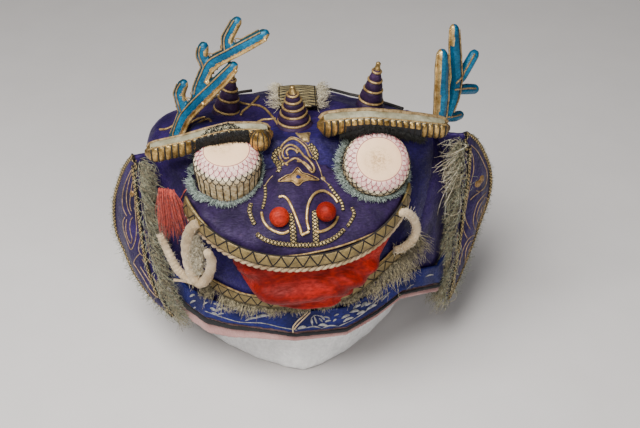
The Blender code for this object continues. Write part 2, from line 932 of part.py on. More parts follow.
def make_eye_ruff(side, finders):
    """Short fringe that lies on the face round the front of an eye's foot."""
    place = EYES[side]
    axis = axis_of(place)
    turn_to = Vector((0, 0, 1)).rotation_difference(axis)
    top = Vector(place["seat"]) + axis * 60.0

    def on_skin(t, radius, lift):
        turn = math.radians(148 + 244 * t)
        start = top + turn_to @ Vector((radius * math.cos(turn), radius * math.sin(turn), 0.0))
        hits = [finder.ray_cast(start * MM, -axis) for finder in finders]
        place_hit, normal, _, _ = min((hit for hit in hits if hit[0]), key=lambda hit: hit[3])
        return place_hit / MM + normal * lift

    def line(t):
        return on_skin(t, 18.8, 2.2)

    def reach(t):
        return on_skin(t, 23.6, 3.4) - on_skin(t, 18.8, 2.2)

    return comb("eye_ruff_" + side, line, reach, 9, 2.0, notch=0.62, seed=4.0)


def make_brow(side, table):
    """Padded bar, ribbed across by the cord that is wound round it."""
    rows = table.rows
    length = len(rows) - 1
    rings = []
    for i in range(2 * BROW_RIBS + 1):
        t = i / (2 * BROW_RIBS)
        low = min(int(t * length), length - 1)
        share = t * length - low
        x, y, z, half_height, half_depth = (a + (b - a) * share for a, b in zip(rows[low], rows[low + 1]))
        rib = 1.0 if i % 2 else 0.90
        ring = []
        for k in range(6):
            turn = 2 * math.pi * k / 6 + math.pi / 6
            across = math.cos(turn) * 1.12 * half_depth * rib
            up = math.sin(turn) * 1.06 * half_height * rib
            foot = BROW_FOOT[k]
            lean = across * 0.9 - up * 0.25 + foot * 0.3
            ring.append(Vector((x, y + lean, z + up + across * 0.2 - foot)))
        rings.append(ring)
    return baked(surface("brow_" + side, rings, low_cap="fan", high_cap="fan"))


def make_horn(side):
    horn = HORNS[side]
    foot, tip = Vector(horn["base"]), Vector(horn["tip"])
    length = (tip - foot).length
    profile = [(share * length, radius * horn["radius"]) for share, radius in HORN_PROFILE.rows]
    return turned("horn_" + side, profile, HORN_SIDES, foot, (tip - foot).normalized())


def make_antler(side, branches, place):
    """Padded branches, each a tapering tube, joined into one body."""
    body = None
    for name, table in branches.items():
        points = [place(row) for row in table.rows]
        radii = [row[-1] for row in table.rows]
        last = (points[-1] - points[-2]).normalized()
        points.append(points[-1] + last * radii[-1] * 0.75)
        radii.append(radii[-1] * 0.55)
        branch = cord("antler_" + side if body is None else "branch_" + name, points, 4.0, radii=radii)
        if body is None:
            body = branch
            continue
        body = combine(body, branch, "UNION")
        bpy.data.objects.remove(branch, do_unlink=True)
    return body


def antler_left_place(row):
    lean, tilt = math.radians(25), math.radians(12)
    inward = Vector((math.cos(lean), -math.sin(lean), 0))
    upward = Vector((0, math.sin(tilt), math.cos(tilt)))
    return Vector(ANTLER_LEFT_FOOT) + inward * row[0] + upward * row[1]


def antler_right_place(row):
    return Vector(ANTLER_RIGHT_FOOT) + Vector(row[:3])


def ear_lines(table):
    return table.points("inner_"), table.points("outer_")


def make_ear(side, table):
    """Padded leaf with a hidden root that reaches back to the crown."""
    inner, outer = ear_lines(table)
    rings = []
    for a, b in zip(inner, outer):
        across = b - a
        root = a + Vector((-a.x / abs(a.x) * 15.0, 5.0, 0.0)) * max(ease(a.z, 46, 60), 0.12)
        swell = 0.10 * across.length
        toward_view = Vector((-across.y, across.x, 0)).normalized()
        if toward_view.y > 0:
            toward_view = -toward_view
        middle = a + across * 0.5 + toward_view * swell
        rings.append([root, a, a + across * 0.25 + toward_view * swell * 0.7, middle, b])
    return thicken(surface("ear_" + side, rings, closed_rings=False), EAR_WALL, 0.0, even=False)


def leaf_facing(a, b):
    across = b - a
    facing = Vector((-across.y, across.x, 0)).normalized()
    return -facing if facing.y > 0 else facing


def make_ear_trim(side, table):
    """Flat braid that runs all the way round the leaf, on its front."""
    inner, outer = ear_lines(table)
    last = len(inner) - 1
    edge, inset = [], []
    for i in range(last + 1):
        a, b = inner[i], outer[i]
        across, facing = b - a, leaf_facing(a, b)
        share = min(3.4 / across.length, 0.42)
        clear = EAR_WALL / 2 + 1.3
        edge.append((a + facing * clear, b + facing * clear))
        swell = 0.10 * across.length * 2.4 * share
        lift = facing * (clear + swell)
        inset.append((a + across * share + lift, b - across * share + lift))
    for i, (near, share) in ((0, (1, 0.35)), (last, (last - 1, 0.35))):
        inset[i] = tuple(p.lerp(q, share) for p, q in zip(inset[i], inset[near]))
    outline = [pair[0] for pair in edge] + [pair[1] for pair in reversed(edge)]
    inside = [pair[0] for pair in inset] + [pair[1] for pair in reversed(inset)]
    return thicken(surface("ear_trim_" + side, [outline, inside]), 1.2, 0.0, even=False)


def polyline(points):
    def along(t):
        place = min(max(t, 0.0), 1.0) * (len(points) - 1)
        low = min(int(place), len(points) - 2)
        return points[low].lerp(points[low + 1], place - low)
    return along


def make_ear_fringe(side, table):
    inner, outer = ear_lines(table)
    sign = -1.0 if side == "left" else 1.0
    edge = polyline([b + (b - a).normalized() * 1.6 for a, b in zip(inner, outer)])

    def reach(t):
        return Vector((sign * 5.0, 3.6, -2.5 - 3.0 * t))

    return comb("ear_fringe_" + side, lambda t: edge(0.06 + 0.92 * t), reach, 11, 1.8, seed=8.0)


def make_cheek_fringe(side, table):
    """Longer fringe on the ear's inner side, lying towards the cheek."""
    inner, _ = ear_lines(table)
    sign = 1.0 if side == "left" else -1.0
    edge = polyline([a + Vector((sign * 3.2, -1.6, 0)) for a in inner])

    def reach(t):
        return Vector((sign * 8.0, -8.0, -3.0 - 4.0 * t))

    return comb("cheek_fringe_" + side, lambda t: edge(0.03 + 0.95 * t), reach, 10, 2.0, seed=10.0)


def on_top(finder, x, y):
    hit = finder.ray_cast(Vector((x * MM, y * MM, 0.3)), Vector((0, 0, -1)))
    return hit[0] / MM, hit[1]


def spine_middle(y):
    return 0.10 * (y + 20.0)


def make_spine(core):
    finder = finder_of(core)
    rings = []
    for i in range(8):
        y = -17.0 + 62.0 * i / 7
        ring = []
        for side in (-1.0, -0.5, 0.0, 0.5, 1.0):
            point, normal = on_top(finder, spine_middle(y) + 8.5 * side, y)
            ring.append(point + normal * (2.2 + 1.0 * (1 - side * side)))
        rings.append(ring)
    return thicken(surface("spine_band", rings, closed_rings=False), 4.4, -1.0, even=False)


def make_spine_fur(side, core):
    finder = finder_of(core)
    sign = -1.0 if side == "left" else 1.0

    def line(t):
        y = -16.0 + 60.0 * t
        point, normal = on_top(finder, spine_middle(y) + sign * 9.4, y)
        return point + normal * 1.5

    def reach(t):
        y = -16.0 + 60.0 * t
        near, low = on_top(finder, spine_middle(y) + sign * 9.4, y)
        far, high = on_top(finder, spine_middle(y) + sign * 15.5, y)
        return (far + high * 3.4) - (near + low * 1.5)

    return comb("spine_fur_" + side, line, reach, 9, 2.2, notch=0.6, seed=12.0)


TUSKS = {
    "left": Table(
        "x y z radius",
        [
            (-57.5, -77.5, 116.5, 2.3),
            (-60.8, -76, 113, 2.6),
            (-64, -73, 103, 2.7),
            (-64.5, -70.5, 90, 2.7),
            (-62.8, -70.5, 78.5, 2.7),
            (-59, -72, 73, 2.7),
            (-54.5, -75, 79, 2.6),
            (-52, -79, 92, 2.4),
            (-54, -82, 101, 2.1),
        ],
    ),
    "right": Table(
        "x y z radius",
        [
            (46, -79, 115.0, 1.9),
            (50.5, -79, 114.5, 2.1),
            (54.8, -76.5, 108.5, 2.2),
            (57.2, -74, 99.0, 2.2),
            (54.8, -74.5, 92.3, 2.1),
            (49.5, -78, 91.0, 2.0),
            (45, -81, 92.3, 1.8),
        ],
    ),
}
TUSK_PRONG = Table(
    "x y z radius",
    [
        (-78, -62, 99.5, 1.7),
        (-74, -64.5, 88, 2.0),
        (-69.5, -67, 78, 2.2),
        (-62, -71, 73.4, 2.2),
    ],
)
TASSEL_ROOT = (-74.0, -57.5, 124.5)
CROWN_WIRES = {
    "left": Table("x y", [(-62, 12), (-48, 9), (-34, 12), (-22, 17)]),
    "right": Table("x y", [(20, 22), (34, 20), (48, 11), (61, -3)]),
}


def tapered(name, table):
    points = [Vector(row[:3]) for row in table.rows]
    return cord(name, points, 2.0, radii=[row[3] for row in table.rows])


def make_tusk(side):
    """Felt cord bent into a loop at the corner of the mouth."""
    loop = tapered("tusk_" + side, TUSKS[side])
    if side == "left":
        prong = tapered("tusk_prong", TUSK_PRONG)
        loop = combine(loop, prong, "UNION")
        bpy.data.objects.remove(prong, do_unlink=True)
    return loop


def make_tassel():
    root = Vector(TASSEL_ROOT)

    def line(t):
        return root + Vector((-4.0 + 8.0 * t, 1.5 - 3.0 * t, 0.0))

    def reach(t):
        return Vector((-3.0 + 5.0 * t, -5.0, -24.0))

    return comb("tassel", line, reach, 6, 3.2, notch=0.72, seed=14.0)


def make_crown_wire(side, core):
    finder = finder_of(core)
    points = []
    for place in smooth_path([(x, y, 0) for x, y in CROWN_WIRES[side].rows], 2):
        point, normal = on_top(finder, place.x, place.y)
        points.append(point + normal * 1.5)
    return cord("crown_wire_" + side, points, 0.9)


NOSTRILS = {"left": (-16.4, 117.5), "right": (7.3, 117.9)}


def muzzle_skin(finder, x, z):
    hit = finder.ray_cast(Vector((x * MM, -0.2, z * MM)), Vector((0, 1, 0)))
    return hit[0] / MM, hit[1]


def make_nostril(side, finder):
    point, normal = muzzle_skin(finder, *NOSTRILS[side])
    middle = point + normal * 6.2
    shape = bmesh.new()
    bmesh.ops.create_uvsphere(shape, u_segments=10, v_segments=6, radius=4.9 * MM)
    mesh = bpy.data.meshes.new("nostril_" + side)
    shape.to_mesh(mesh)
    shape.free()
    ball = piece_from("nostril_" + side, mesh)
    ball.location = middle * MM
    return baked(ball)


def make_nostril_ring(side, finder):
    """Gold cord that curls round a nostril and runs down towards the lip."""
    sign = -1.0 if side == "left" else 1.0
    middle, height = NOSTRILS[side]
    points = []
    for i in range(12):
        turn = math.radians(-60 + 290 * i / 11)
        x = middle + sign * 7.6 * math.cos(turn)
        z = height - 0.6 + 6.8 * math.sin(turn)
        point, normal = muzzle_skin(finder, x, z)
        points.append(point + normal * 5.4)
    return cord("nostril_ring_" + side, points, 1.15)


NOSE = Table(
    "height middle half_width lift",
    [
        (111.3, -8.0, 15.0, 1.0),
        (113.8, -8.0, 20.5, 3.0),
        (118.5, -7.6, 20.5, 4.0),
        (123.0, -6.8, 17.0, 3.8),
        (127.5, -6.2, 13.5, 3.0),
        (131.5, -6.0, 11.5, 2.0),
        (134.5, -5.8, 9.0, 1.0),
    ],
)


def make_nose(finder):
    """Raised satin bridge that runs from the forehead down to the nostrils."""
    rings = []
    for z, middle, half, lift in NOSE.rows:
        ring = []
        for share in (-1.0, -0.62, 0.0, 0.62, 1.0):
            point, normal = muzzle_skin(finder, middle + half * share, z - 1.5 * share * share)
            ring.append(point + normal * (0.8 + lift * (1.0 - abs(share) ** 3)))
        rings.append(ring)
    return thicken(surface("nose_pad", rings, closed_rings=False), 6.5, -1.0, even=False)


def build():
    clear_scene()
    make_collections()
    core = make_crown_core("crown_core")
    inner = make_crown_core("crown_room", inset=CROWN_WALL + 0.35, low=-6)
    pad_core = stack("pad_core", PAD, PAD_SIDES, PAD_BACK, pad_lift)
    muzzle_core = stack("muzzle_core", MUZZLE, MUZZLE_SIDES, MUZZLE_BACK, muzzle_lift)

    done = {}

    def keep(piece, colour):
        done[piece.name] = (piece, colour)
        return piece

    keep(make_crown(), "violet_satin")
    keep(make_foam(inner), "foam")
    band, binding, lining = make_rim()
    keep(band, "blue_satin")
    keep(binding, "black_cloth")
    keep(lining, "pink_cloth")

    pad = stack("face_pad", PAD, PAD_SIDES, PAD_BACK, pad_lift)
    pad = keep(seat(pad, [core, band]), "violet_satin")
    muzzle = stack("muzzle", MUZZLE, MUZZLE_SIDES, MUZZLE_BACK, muzzle_lift)
    muzzle = keep(seat(muzzle, [pad_core, core]), "violet_satin")
    lip = keep(seat(make_upper_lip(), [muzzle_core, pad_core, core]), "gold_braid")
    piping = keep(seat(make_upper_piping(), [muzzle, lip, pad_core, core]), "cream_cord")
    lower_lip = keep(seat(make_lower_lip(pad_core), [pad_core, core]), "gold_braid")
    tongue_core = stack("tongue_core", TONGUE, TONGUE_SIDES, TONGUE_BACK, tongue_lift)
    tongue = stack("tongue", TONGUE, TONGUE_SIDES, TONGUE_BACK, tongue_lift)
    keep(seat(tongue, [pad_core, lower_lip, core, band]), "red_satin")
    keep(seat(make_jaw_fringe(pad_core), [pad_core, lower_lip, tongue_core, band, core]), "tan_fur")

    finder = finder_of(muzzle_core)
    nose = keep(seat(make_nose(finder), [muzzle_core, pad_core]), "violet_satin")
    balls = [keep(seat(make_nostril(s, finder), [muzzle, nose]), "red_bead") for s in ("left", "right")]
    for s in ("left", "right"):
        keep(seat(make_nostril_ring(s, finder), [muzzle, nose, *balls]), "gold_braid")

    ruff_finders = [finder_of(pad_core), finder]
    for s, brow_table in (("left", BROW_LEFT), ("right", BROW_RIGHT)):
        eye = keep(seat(make_eye(s), [pad_core, core, muzzle_core]), "eye_cloth")
        brow = keep(seat(make_brow(s, brow_table), [core, pad_core, eye]), "gold_braid")
        ruff_bases = [eye, pad_core, core, muzzle, lip, brow]
        keep(seat(make_eye_ruff(s, ruff_finders), ruff_bases), "green_fringe")

    brows = [done["brow_left"][0], done["brow_right"][0]]
    horns = [keep(seat(make_horn(s), [core, pad_core, muzzle, *brows]), "violet_satin") for s in HORNS]
    antlers = [
        keep(seat(make_antler(s, branches, place), [core, pad_core, *brows]), "turquoise_satin")
        for s, branches, place in (
            ("left", ANTLER_LEFT, antler_left_place),
            ("right", ANTLER_RIGHT, antler_right_place),
        )
    ]
    spine = keep(seat(make_spine(core), [core, *horns]), "gold_braid")
    furs = [
        keep(seat(make_spine_fur(s, core), [core, spine, *horns, *brows]), "tan_fur")
        for s in ("left", "right")
    ]
    for s in ("left", "right"):
        keep(seat(make_crown_wire(s, core), [core, spine, *furs, *horns, *antlers]), "black_cloth")

    for s, table in (("left", EAR_LEFT), ("right", EAR_RIGHT)):
        brow = done["brow_" + s][0]
        ear = keep(seat(make_ear(s, table), [core, band, binding, lining, pad_core]), "violet_satin")
        trim = keep(seat(make_ear_trim(s, table), [ear, band, binding]), "gold_braid")
        keep(seat(make_ear_fringe(s, table), [ear, trim, band, binding]), "green_fringe")
        jaw = done["jaw_fringe"][0]
        cheek_bases = [ear, trim, core, band, binding, lining, pad_core, lower_lip, jaw, brow]
        keep(seat(make_cheek_fringe(s, table), cheek_bases), "green_fringe")
        antler = done["antler_" + s][0]
        done["antler_" + s] = (seat(antler, [ear, trim]), "turquoise_satin")

    for s in ("left", "right"):
        cheek = done["cheek_fringe_" + s][0]
        tusk = make_tusk(s)
        tusk_bases = [pad_core, muzzle, lip, piping, tongue_core, lower_lip, core, cheek, jaw]
        tusk = keep(seat(tusk, tusk_bases), "cream_cord")
        if s == "left":
            tassel_bases = [pad_core, core, cheek, done["ear_trim_left"][0], tusk]
            keep(seat(make_tassel(), tassel_bases), "coral_thread")

    hat = bpy.data.objects.new("qilin_hat_origin", None)
    hat_parts.objects.link(hat)
    for piece, colour in done.values():
        finish(piece, colour)
        piece.parent = hat
    for guide in (core, inner, pad_core, muzzle_core, tongue_core):
        bpy.data.objects.remove(guide, do_unlink=True)


build()
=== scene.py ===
"""Looks of a child's padded satin qilin hat on its foam stand.

Soft pieces are fine skins grown from the frame's solids. Braids, couched gold thread,
nets and fringes are laid on those skins. Places are in millimetres in the frame's axes:
X runs to the viewer's right, the face looks along -Y and Z is up.
"""

import math

import bmesh
import bpy
import numpy as np
from mathutils import Matrix, Vector
from mathutils.bvhtree import BVHTree


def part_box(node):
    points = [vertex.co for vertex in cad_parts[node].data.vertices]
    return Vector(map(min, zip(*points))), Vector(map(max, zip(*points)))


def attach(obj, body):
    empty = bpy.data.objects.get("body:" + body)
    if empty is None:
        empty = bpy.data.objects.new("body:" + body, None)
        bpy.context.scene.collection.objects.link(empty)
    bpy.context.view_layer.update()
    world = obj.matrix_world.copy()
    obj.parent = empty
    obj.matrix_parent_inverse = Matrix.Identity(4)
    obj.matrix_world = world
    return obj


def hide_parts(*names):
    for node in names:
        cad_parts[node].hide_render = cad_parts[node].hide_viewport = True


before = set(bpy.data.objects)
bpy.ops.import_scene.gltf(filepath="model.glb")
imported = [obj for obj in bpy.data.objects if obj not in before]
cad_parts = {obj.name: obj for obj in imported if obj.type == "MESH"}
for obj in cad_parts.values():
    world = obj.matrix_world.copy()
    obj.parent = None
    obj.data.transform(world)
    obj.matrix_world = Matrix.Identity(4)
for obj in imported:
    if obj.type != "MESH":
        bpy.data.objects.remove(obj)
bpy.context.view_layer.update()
MM = 0.001
SIDES = ("left", "right")

# Camera of the photograph
VIEW_SIDE, VIEW_RISE = -7.0, 36.0
VIEW_TARGET = Vector((0.0, -10.0, 70.0))
VIEW_DISTANCE = 723.5
VIEW_SHIFT = (13.4, -1.2)
LENS, SENSOR = 70.0, 36.0
PHOTO_SIZE = (640, 428)

# Face dimensions that the solids share
SMILE_RISE, SMILE_HALF, SMILE_MIDDLE, SMILE_POWER = 14.5, 57.0, -4.5, 2.3


def camera_axes():
    side, rise = math.radians(VIEW_SIDE), math.radians(VIEW_RISE)
    back = Vector((math.sin(side) * math.cos(rise), -math.cos(side) * math.cos(rise), math.sin(rise)))
    right = Vector((math.cos(side), math.sin(side), 0.0))
    up = back.cross(right)
    place = VIEW_TARGET + back * VIEW_DISTANCE + right * VIEW_SHIFT[0] + up * VIEW_SHIFT[1]
    return place, right, up, back


def sight(pixel):
    """Line of sight through a pixel of the photograph."""
    place, right, up, back = camera_axes()
    across = (pixel[0] - PHOTO_SIZE[0] / 2) / PHOTO_SIZE[0] * SENSOR / LENS
    above = (PHOTO_SIZE[1] / 2 - pixel[1]) / PHOTO_SIZE[0] * SENSOR / LENS
    return place, (right * across + up * above - back).normalized()


def seen_on(tree, pixels, lift):
    """Places on a skin under pixels of the photograph, in millimetres."""
    points = []
    for pixel in pixels:
        place, run = sight(pixel)
        hit, normal, _, _ = tree.ray_cast(place * MM, run)
        if hit is not None:
            points.append(hit / MM + (normal if normal.dot(run) < 0 else -normal) * lift)
    return points


def seen_at_depth(pixel, y):
    place, run = sight(pixel)
    return place + run * ((y - place.y) / run.y)


# Materials

class Look:
    """Small helper for building a node material."""

    def __init__(self, name, roughness=0.6, metallic=0.0, sheen=0.0):
        self.material = bpy.data.materials.new(name)
        self.material.use_nodes = True
        self.nodes = self.material.node_tree.nodes
        self.links = self.material.node_tree.links
        self.shader = self.nodes["Principled BSDF"]
        self.shader.inputs["Roughness"].default_value = roughness
        self.shader.inputs["Metallic"].default_value = metallic
        self.shader.inputs["Sheen Weight"].default_value = sheen
        self.place = self.nodes.new("ShaderNodeTexCoord").outputs["Object"]
        self.uv = self.nodes.new("ShaderNodeUVMap").outputs["UV"]

    def put(self, socket, value):
        if isinstance(value, bpy.types.NodeSocket):
            self.links.new(value, socket)
        else:
            socket.default_value = value

    def math(self, kind, a, b=0.0):
        node = self.nodes.new("ShaderNodeMath")
        node.operation = kind
        for socket, value in zip(node.inputs, (a, b)):
            self.put(socket, value)
        return node.outputs[0]

    def noise(self, scale, detail=3.0, rough=0.5, at=None):
        node = self.nodes.new("ShaderNodeTexNoise")
        self.put(node.inputs["Vector"], at or self.place)
        node.inputs["Scale"].default_value = scale
        node.inputs["Detail"].default_value = detail
        node.inputs["Roughness"].default_value = rough
        return node.outputs["Fac"]

    def ramp(self, value, low, high, to_low=0.0, to_high=1.0):
        node = self.nodes.new("ShaderNodeMapRange")
        for name, number in (("From Min", low), ("From Max", high), ("To Min", to_low),
                             ("To Max", to_high)):
            node.inputs[name].default_value = number
        self.put(node.inputs["Value"], value)
        return node.outputs[0]

    def mix(self, share, a, b):
        node = self.nodes.new("ShaderNodeMix")
        node.data_type = "RGBA"
        self.put(node.inputs[0], share)
        for socket, value in ((node.inputs[6], a), (node.inputs[7], b)):
            self.put(socket, value if isinstance(value, bpy.types.NodeSocket) else (*value, 1.0))
        return node.outputs[2]

    def stretched(self, scale, source=None):
        node = self.nodes.new("ShaderNodeMapping")
        node.inputs["Scale"].default_value = scale
        self.put(node.inputs["Vector"], source or self.place)
        return node.outputs[0]

    def split(self, vector):
        node = self.nodes.new("ShaderNodeSeparateXYZ")
        self.put(node.inputs[0], vector)
        return node.outputs[0], node.outputs[1], node.outputs[2]

    def colour(self, value):
        self.put(self.shader.inputs["Base Color"], value)

    def roughness(self, value):
        self.put(self.shader.inputs["Roughness"], value)

    def bump(self, height, distance, strength=1.0):
        node = self.nodes.new("ShaderNodeBump")
        node.inputs["Distance"].default_value = distance
        node.inputs["Strength"].default_value = strength
        self.put(node.inputs["Height"], height)
        if self.shader.inputs["Normal"].is_linked:
            self.put(node.inputs["Normal"], self.shader.inputs["Normal"].links[0].from_socket)
        self.put(self.shader.inputs["Normal"], node.outputs[0])

    def triangle(self, value, period):
        """Zigzag between 0 and 1 as the value runs on."""
        return self.math("PINGPONG", self.math("DIVIDE", value, period), 0.5)


def satin(name, dark, bright, roughness=0.36, wear=None, weave=1500.0, crease=1.0, specular=0.30):
    """Satin: slanting fine threads, soft creases and worn, paler patches."""
    look = Look(name, roughness)
    look.shader.inputs["Specular IOR Level"].default_value = specular
    look.shader.inputs["Specular Tint"].default_value = (*[min(1.0, 0.45 + 3.0 * c) for c in bright], 1.0)
    threads = look.noise(weave, 2.0, 0.6, look.stretched((0.30, 1.0, 0.6)))
    cloud = look.noise(55.0, 5.0, 0.6)
    tone = look.mix(look.ramp(cloud, 0.38, 0.64), dark, bright)
    if wear:
        patches = look.ramp(look.noise(260.0, 6.0, 0.75), 0.58, 0.74)
        tone = look.mix(look.math("MULTIPLY", patches, 0.5), tone, wear)
    tone = look.mix(look.ramp(threads, 0.35, 0.65, 0.0, 0.55), tone, [c * 0.35 for c in dark])
    look.colour(tone)
    look.roughness(look.ramp(threads, 0.3, 0.7, roughness - 0.05, roughness + 0.2))
    look.bump(look.noise(110.0, 4.0, 0.5), 0.0022 * crease, 0.7)
    look.bump(look.noise(420.0, 3.0, 0.6), 0.0005 * crease, 0.5)
    look.bump(threads, 0.00025, 0.8)
    return look.material


def cloth(name, dark, bright, roughness=0.85, grain=1500.0, depth=0.0003, sheen=0.2):
    """Plain cloth or felt with a woven or felted grain."""
    look = Look(name, roughness, sheen=sheen)
    grain_fac = look.noise(grain, 3.0, 0.6)
    tone = look.mix(look.ramp(look.noise(60.0, 4.0, 0.6), 0.35, 0.65), dark, bright)
    look.colour(look.mix(look.ramp(grain_fac, 0.35, 0.65, 0.0, 0.35), tone, [c * 0.6 for c in dark]))
    look.bump(grain_fac, depth, 0.7)
    return look.material


def gold_thread(name, dark, bright, metallic=0.72, roughness=0.36, grain=420.0):
    """Worn gold thread: bright where it stands proud, brown where the leaf has gone."""
    look = Look(name, roughness, metallic)
    worn = look.ramp(look.noise(grain, 5.0, 0.7), 0.38, 0.62)
    tone = look.mix(worn, dark, bright)
    wraps = look.noise(5200.0, 1.0, 0.5, look.stretched((1.0, 1.0, 0.35)))
    look.colour(look.mix(look.ramp(wraps, 0.35, 0.65, 0.0, 0.4), tone, dark))
    look.roughness(look.ramp(worn, 0.0, 1.0, roughness + 0.25, roughness))
    look.bump(wraps, 0.0001, 0.6)
    return look.material


def zigzag_braid(name, period, half_width, ground, line=0.42, cross=False, rim=0.4):
    """Braid with a dark thread sewn to and fro across it. U is metres along it and V metres across."""
    look = Look(name, 0.5, 0.5)
    along, across, _ = look.split(look.uv)
    wave = look.ramp(look.triangle(along, period), 0.0, 0.5, -half_width, half_width)
    nearness = math.sqrt(1.0 + (4.0 * half_width / period) ** 2)

    def near_line(target):
        gap = look.math("ABSOLUTE", look.math("SUBTRACT", across, target))
        return look.ramp(look.math("DIVIDE", gap, nearness), line * MM * 0.6, line * MM, 1.0, 0.0)

    lines = near_line(wave)
    if cross:
        lines = look.math("MAXIMUM", lines, near_line(look.math("MULTIPLY", wave, -1.0)))
    edge = look.math("ABSOLUTE", look.math("SUBTRACT", look.math("ABSOLUTE", across), half_width * 1.03))
    lines = look.math("MAXIMUM", lines, look.ramp(edge, rim * MM * 0.4, rim * MM, 1.0, 0.0))
    rows = look.noise(900.0, 2.0, 0.5, look.stretched((0.35, 3.0, 1.0), look.uv))
    worn = look.ramp(look.noise(230.0, 4.0, 0.65), 0.36, 0.66)
    tone = look.mix(worn, [c * 0.42 for c in ground], ground)
    tone = look.mix(look.ramp(rows, 0.35, 0.65, 0.0, 0.5), tone, [c * 0.35 for c in ground])
    look.colour(look.mix(lines, tone, (0.012, 0.010, 0.012)))
    look.roughness(look.ramp(lines, 0.0, 1.0, 0.42, 0.85))
    look.bump(rows, 0.00035, 0.8)
    look.bump(lines, 0.0004, 0.7)
    return look.material


def strands_look(name, dark, bright, sheen=0.1):
    look = Look(name, 0.7, sheen=sheen)
    look.colour(look.mix(look.ramp(look.noise(700.0, 2.0, 0.6), 0.35, 0.65), dark, bright))
    look.bump(look.noise(3000.0, 1.0), 0.0001, 0.4)
    return look.material


def eye_look(name, seat, axis, stain_at):
    """Padded cream drum: stained flat top, pink shoulder and dull gold side."""
    look = Look(name, 0.75)

    def measure(kind, other, place):
        node = look.nodes.new("ShaderNodeVectorMath")
        node.operation = kind
        look.put(node.inputs[0], place)
        node.inputs[1].default_value = other
        return node.outputs["Value"] if kind in ("DOT_PRODUCT", "DISTANCE") else node.outputs[0]

    height = measure("DOT_PRODUCT", axis, measure("SUBTRACT", seat, look.place))
    near_stain = look.ramp(measure("DISTANCE", stain_at, look.place), 0.0, 10.0 * MM, 1.0, 0.0)
    speckle = look.ramp(look.noise(420.0, 6.0, 0.85), 0.47, 0.56)
    stains = look.math("MULTIPLY", speckle, look.ramp(near_stain, 0.15, 0.85))
    top = look.mix(look.noise(60.0, 4.0, 0.6), (0.98, 0.70, 0.44), (0.84, 0.52, 0.30))
    top = look.mix(look.ramp(near_stain, 0.0, 1.0, 0.0, 0.45), top, (0.74, 0.52, 0.27))
    top = look.mix(look.math("MULTIPLY", stains, 0.8), top, (0.34, 0.17, 0.06))
    pink = look.mix(look.ramp(look.noise(300.0, 3.0), 0.35, 0.65), (0.74, 0.47, 0.42), (0.84, 0.63, 0.54))
    side = look.mix(look.ramp(look.noise(500.0, 3.0), 0.35, 0.65), (0.25, 0.16, 0.06), (0.62, 0.50, 0.30))
    cream = look.mix(look.ramp(height, 9.0 * MM, 11.5 * MM), side, (0.74, 0.62, 0.44))
    tone = look.mix(look.ramp(height, 11.6 * MM, 12.6 * MM), cream, pink)
    look.colour(look.mix(look.ramp(height, 15.9 * MM, 16.3 * MM), tone, top))
    look.bump(look.noise(1900.0, 3.0, 0.6), 0.00025, 0.7)
    look.bump(look.noise(170.0, 4.0, 0.6), 0.0007, 0.6)
    return look.material


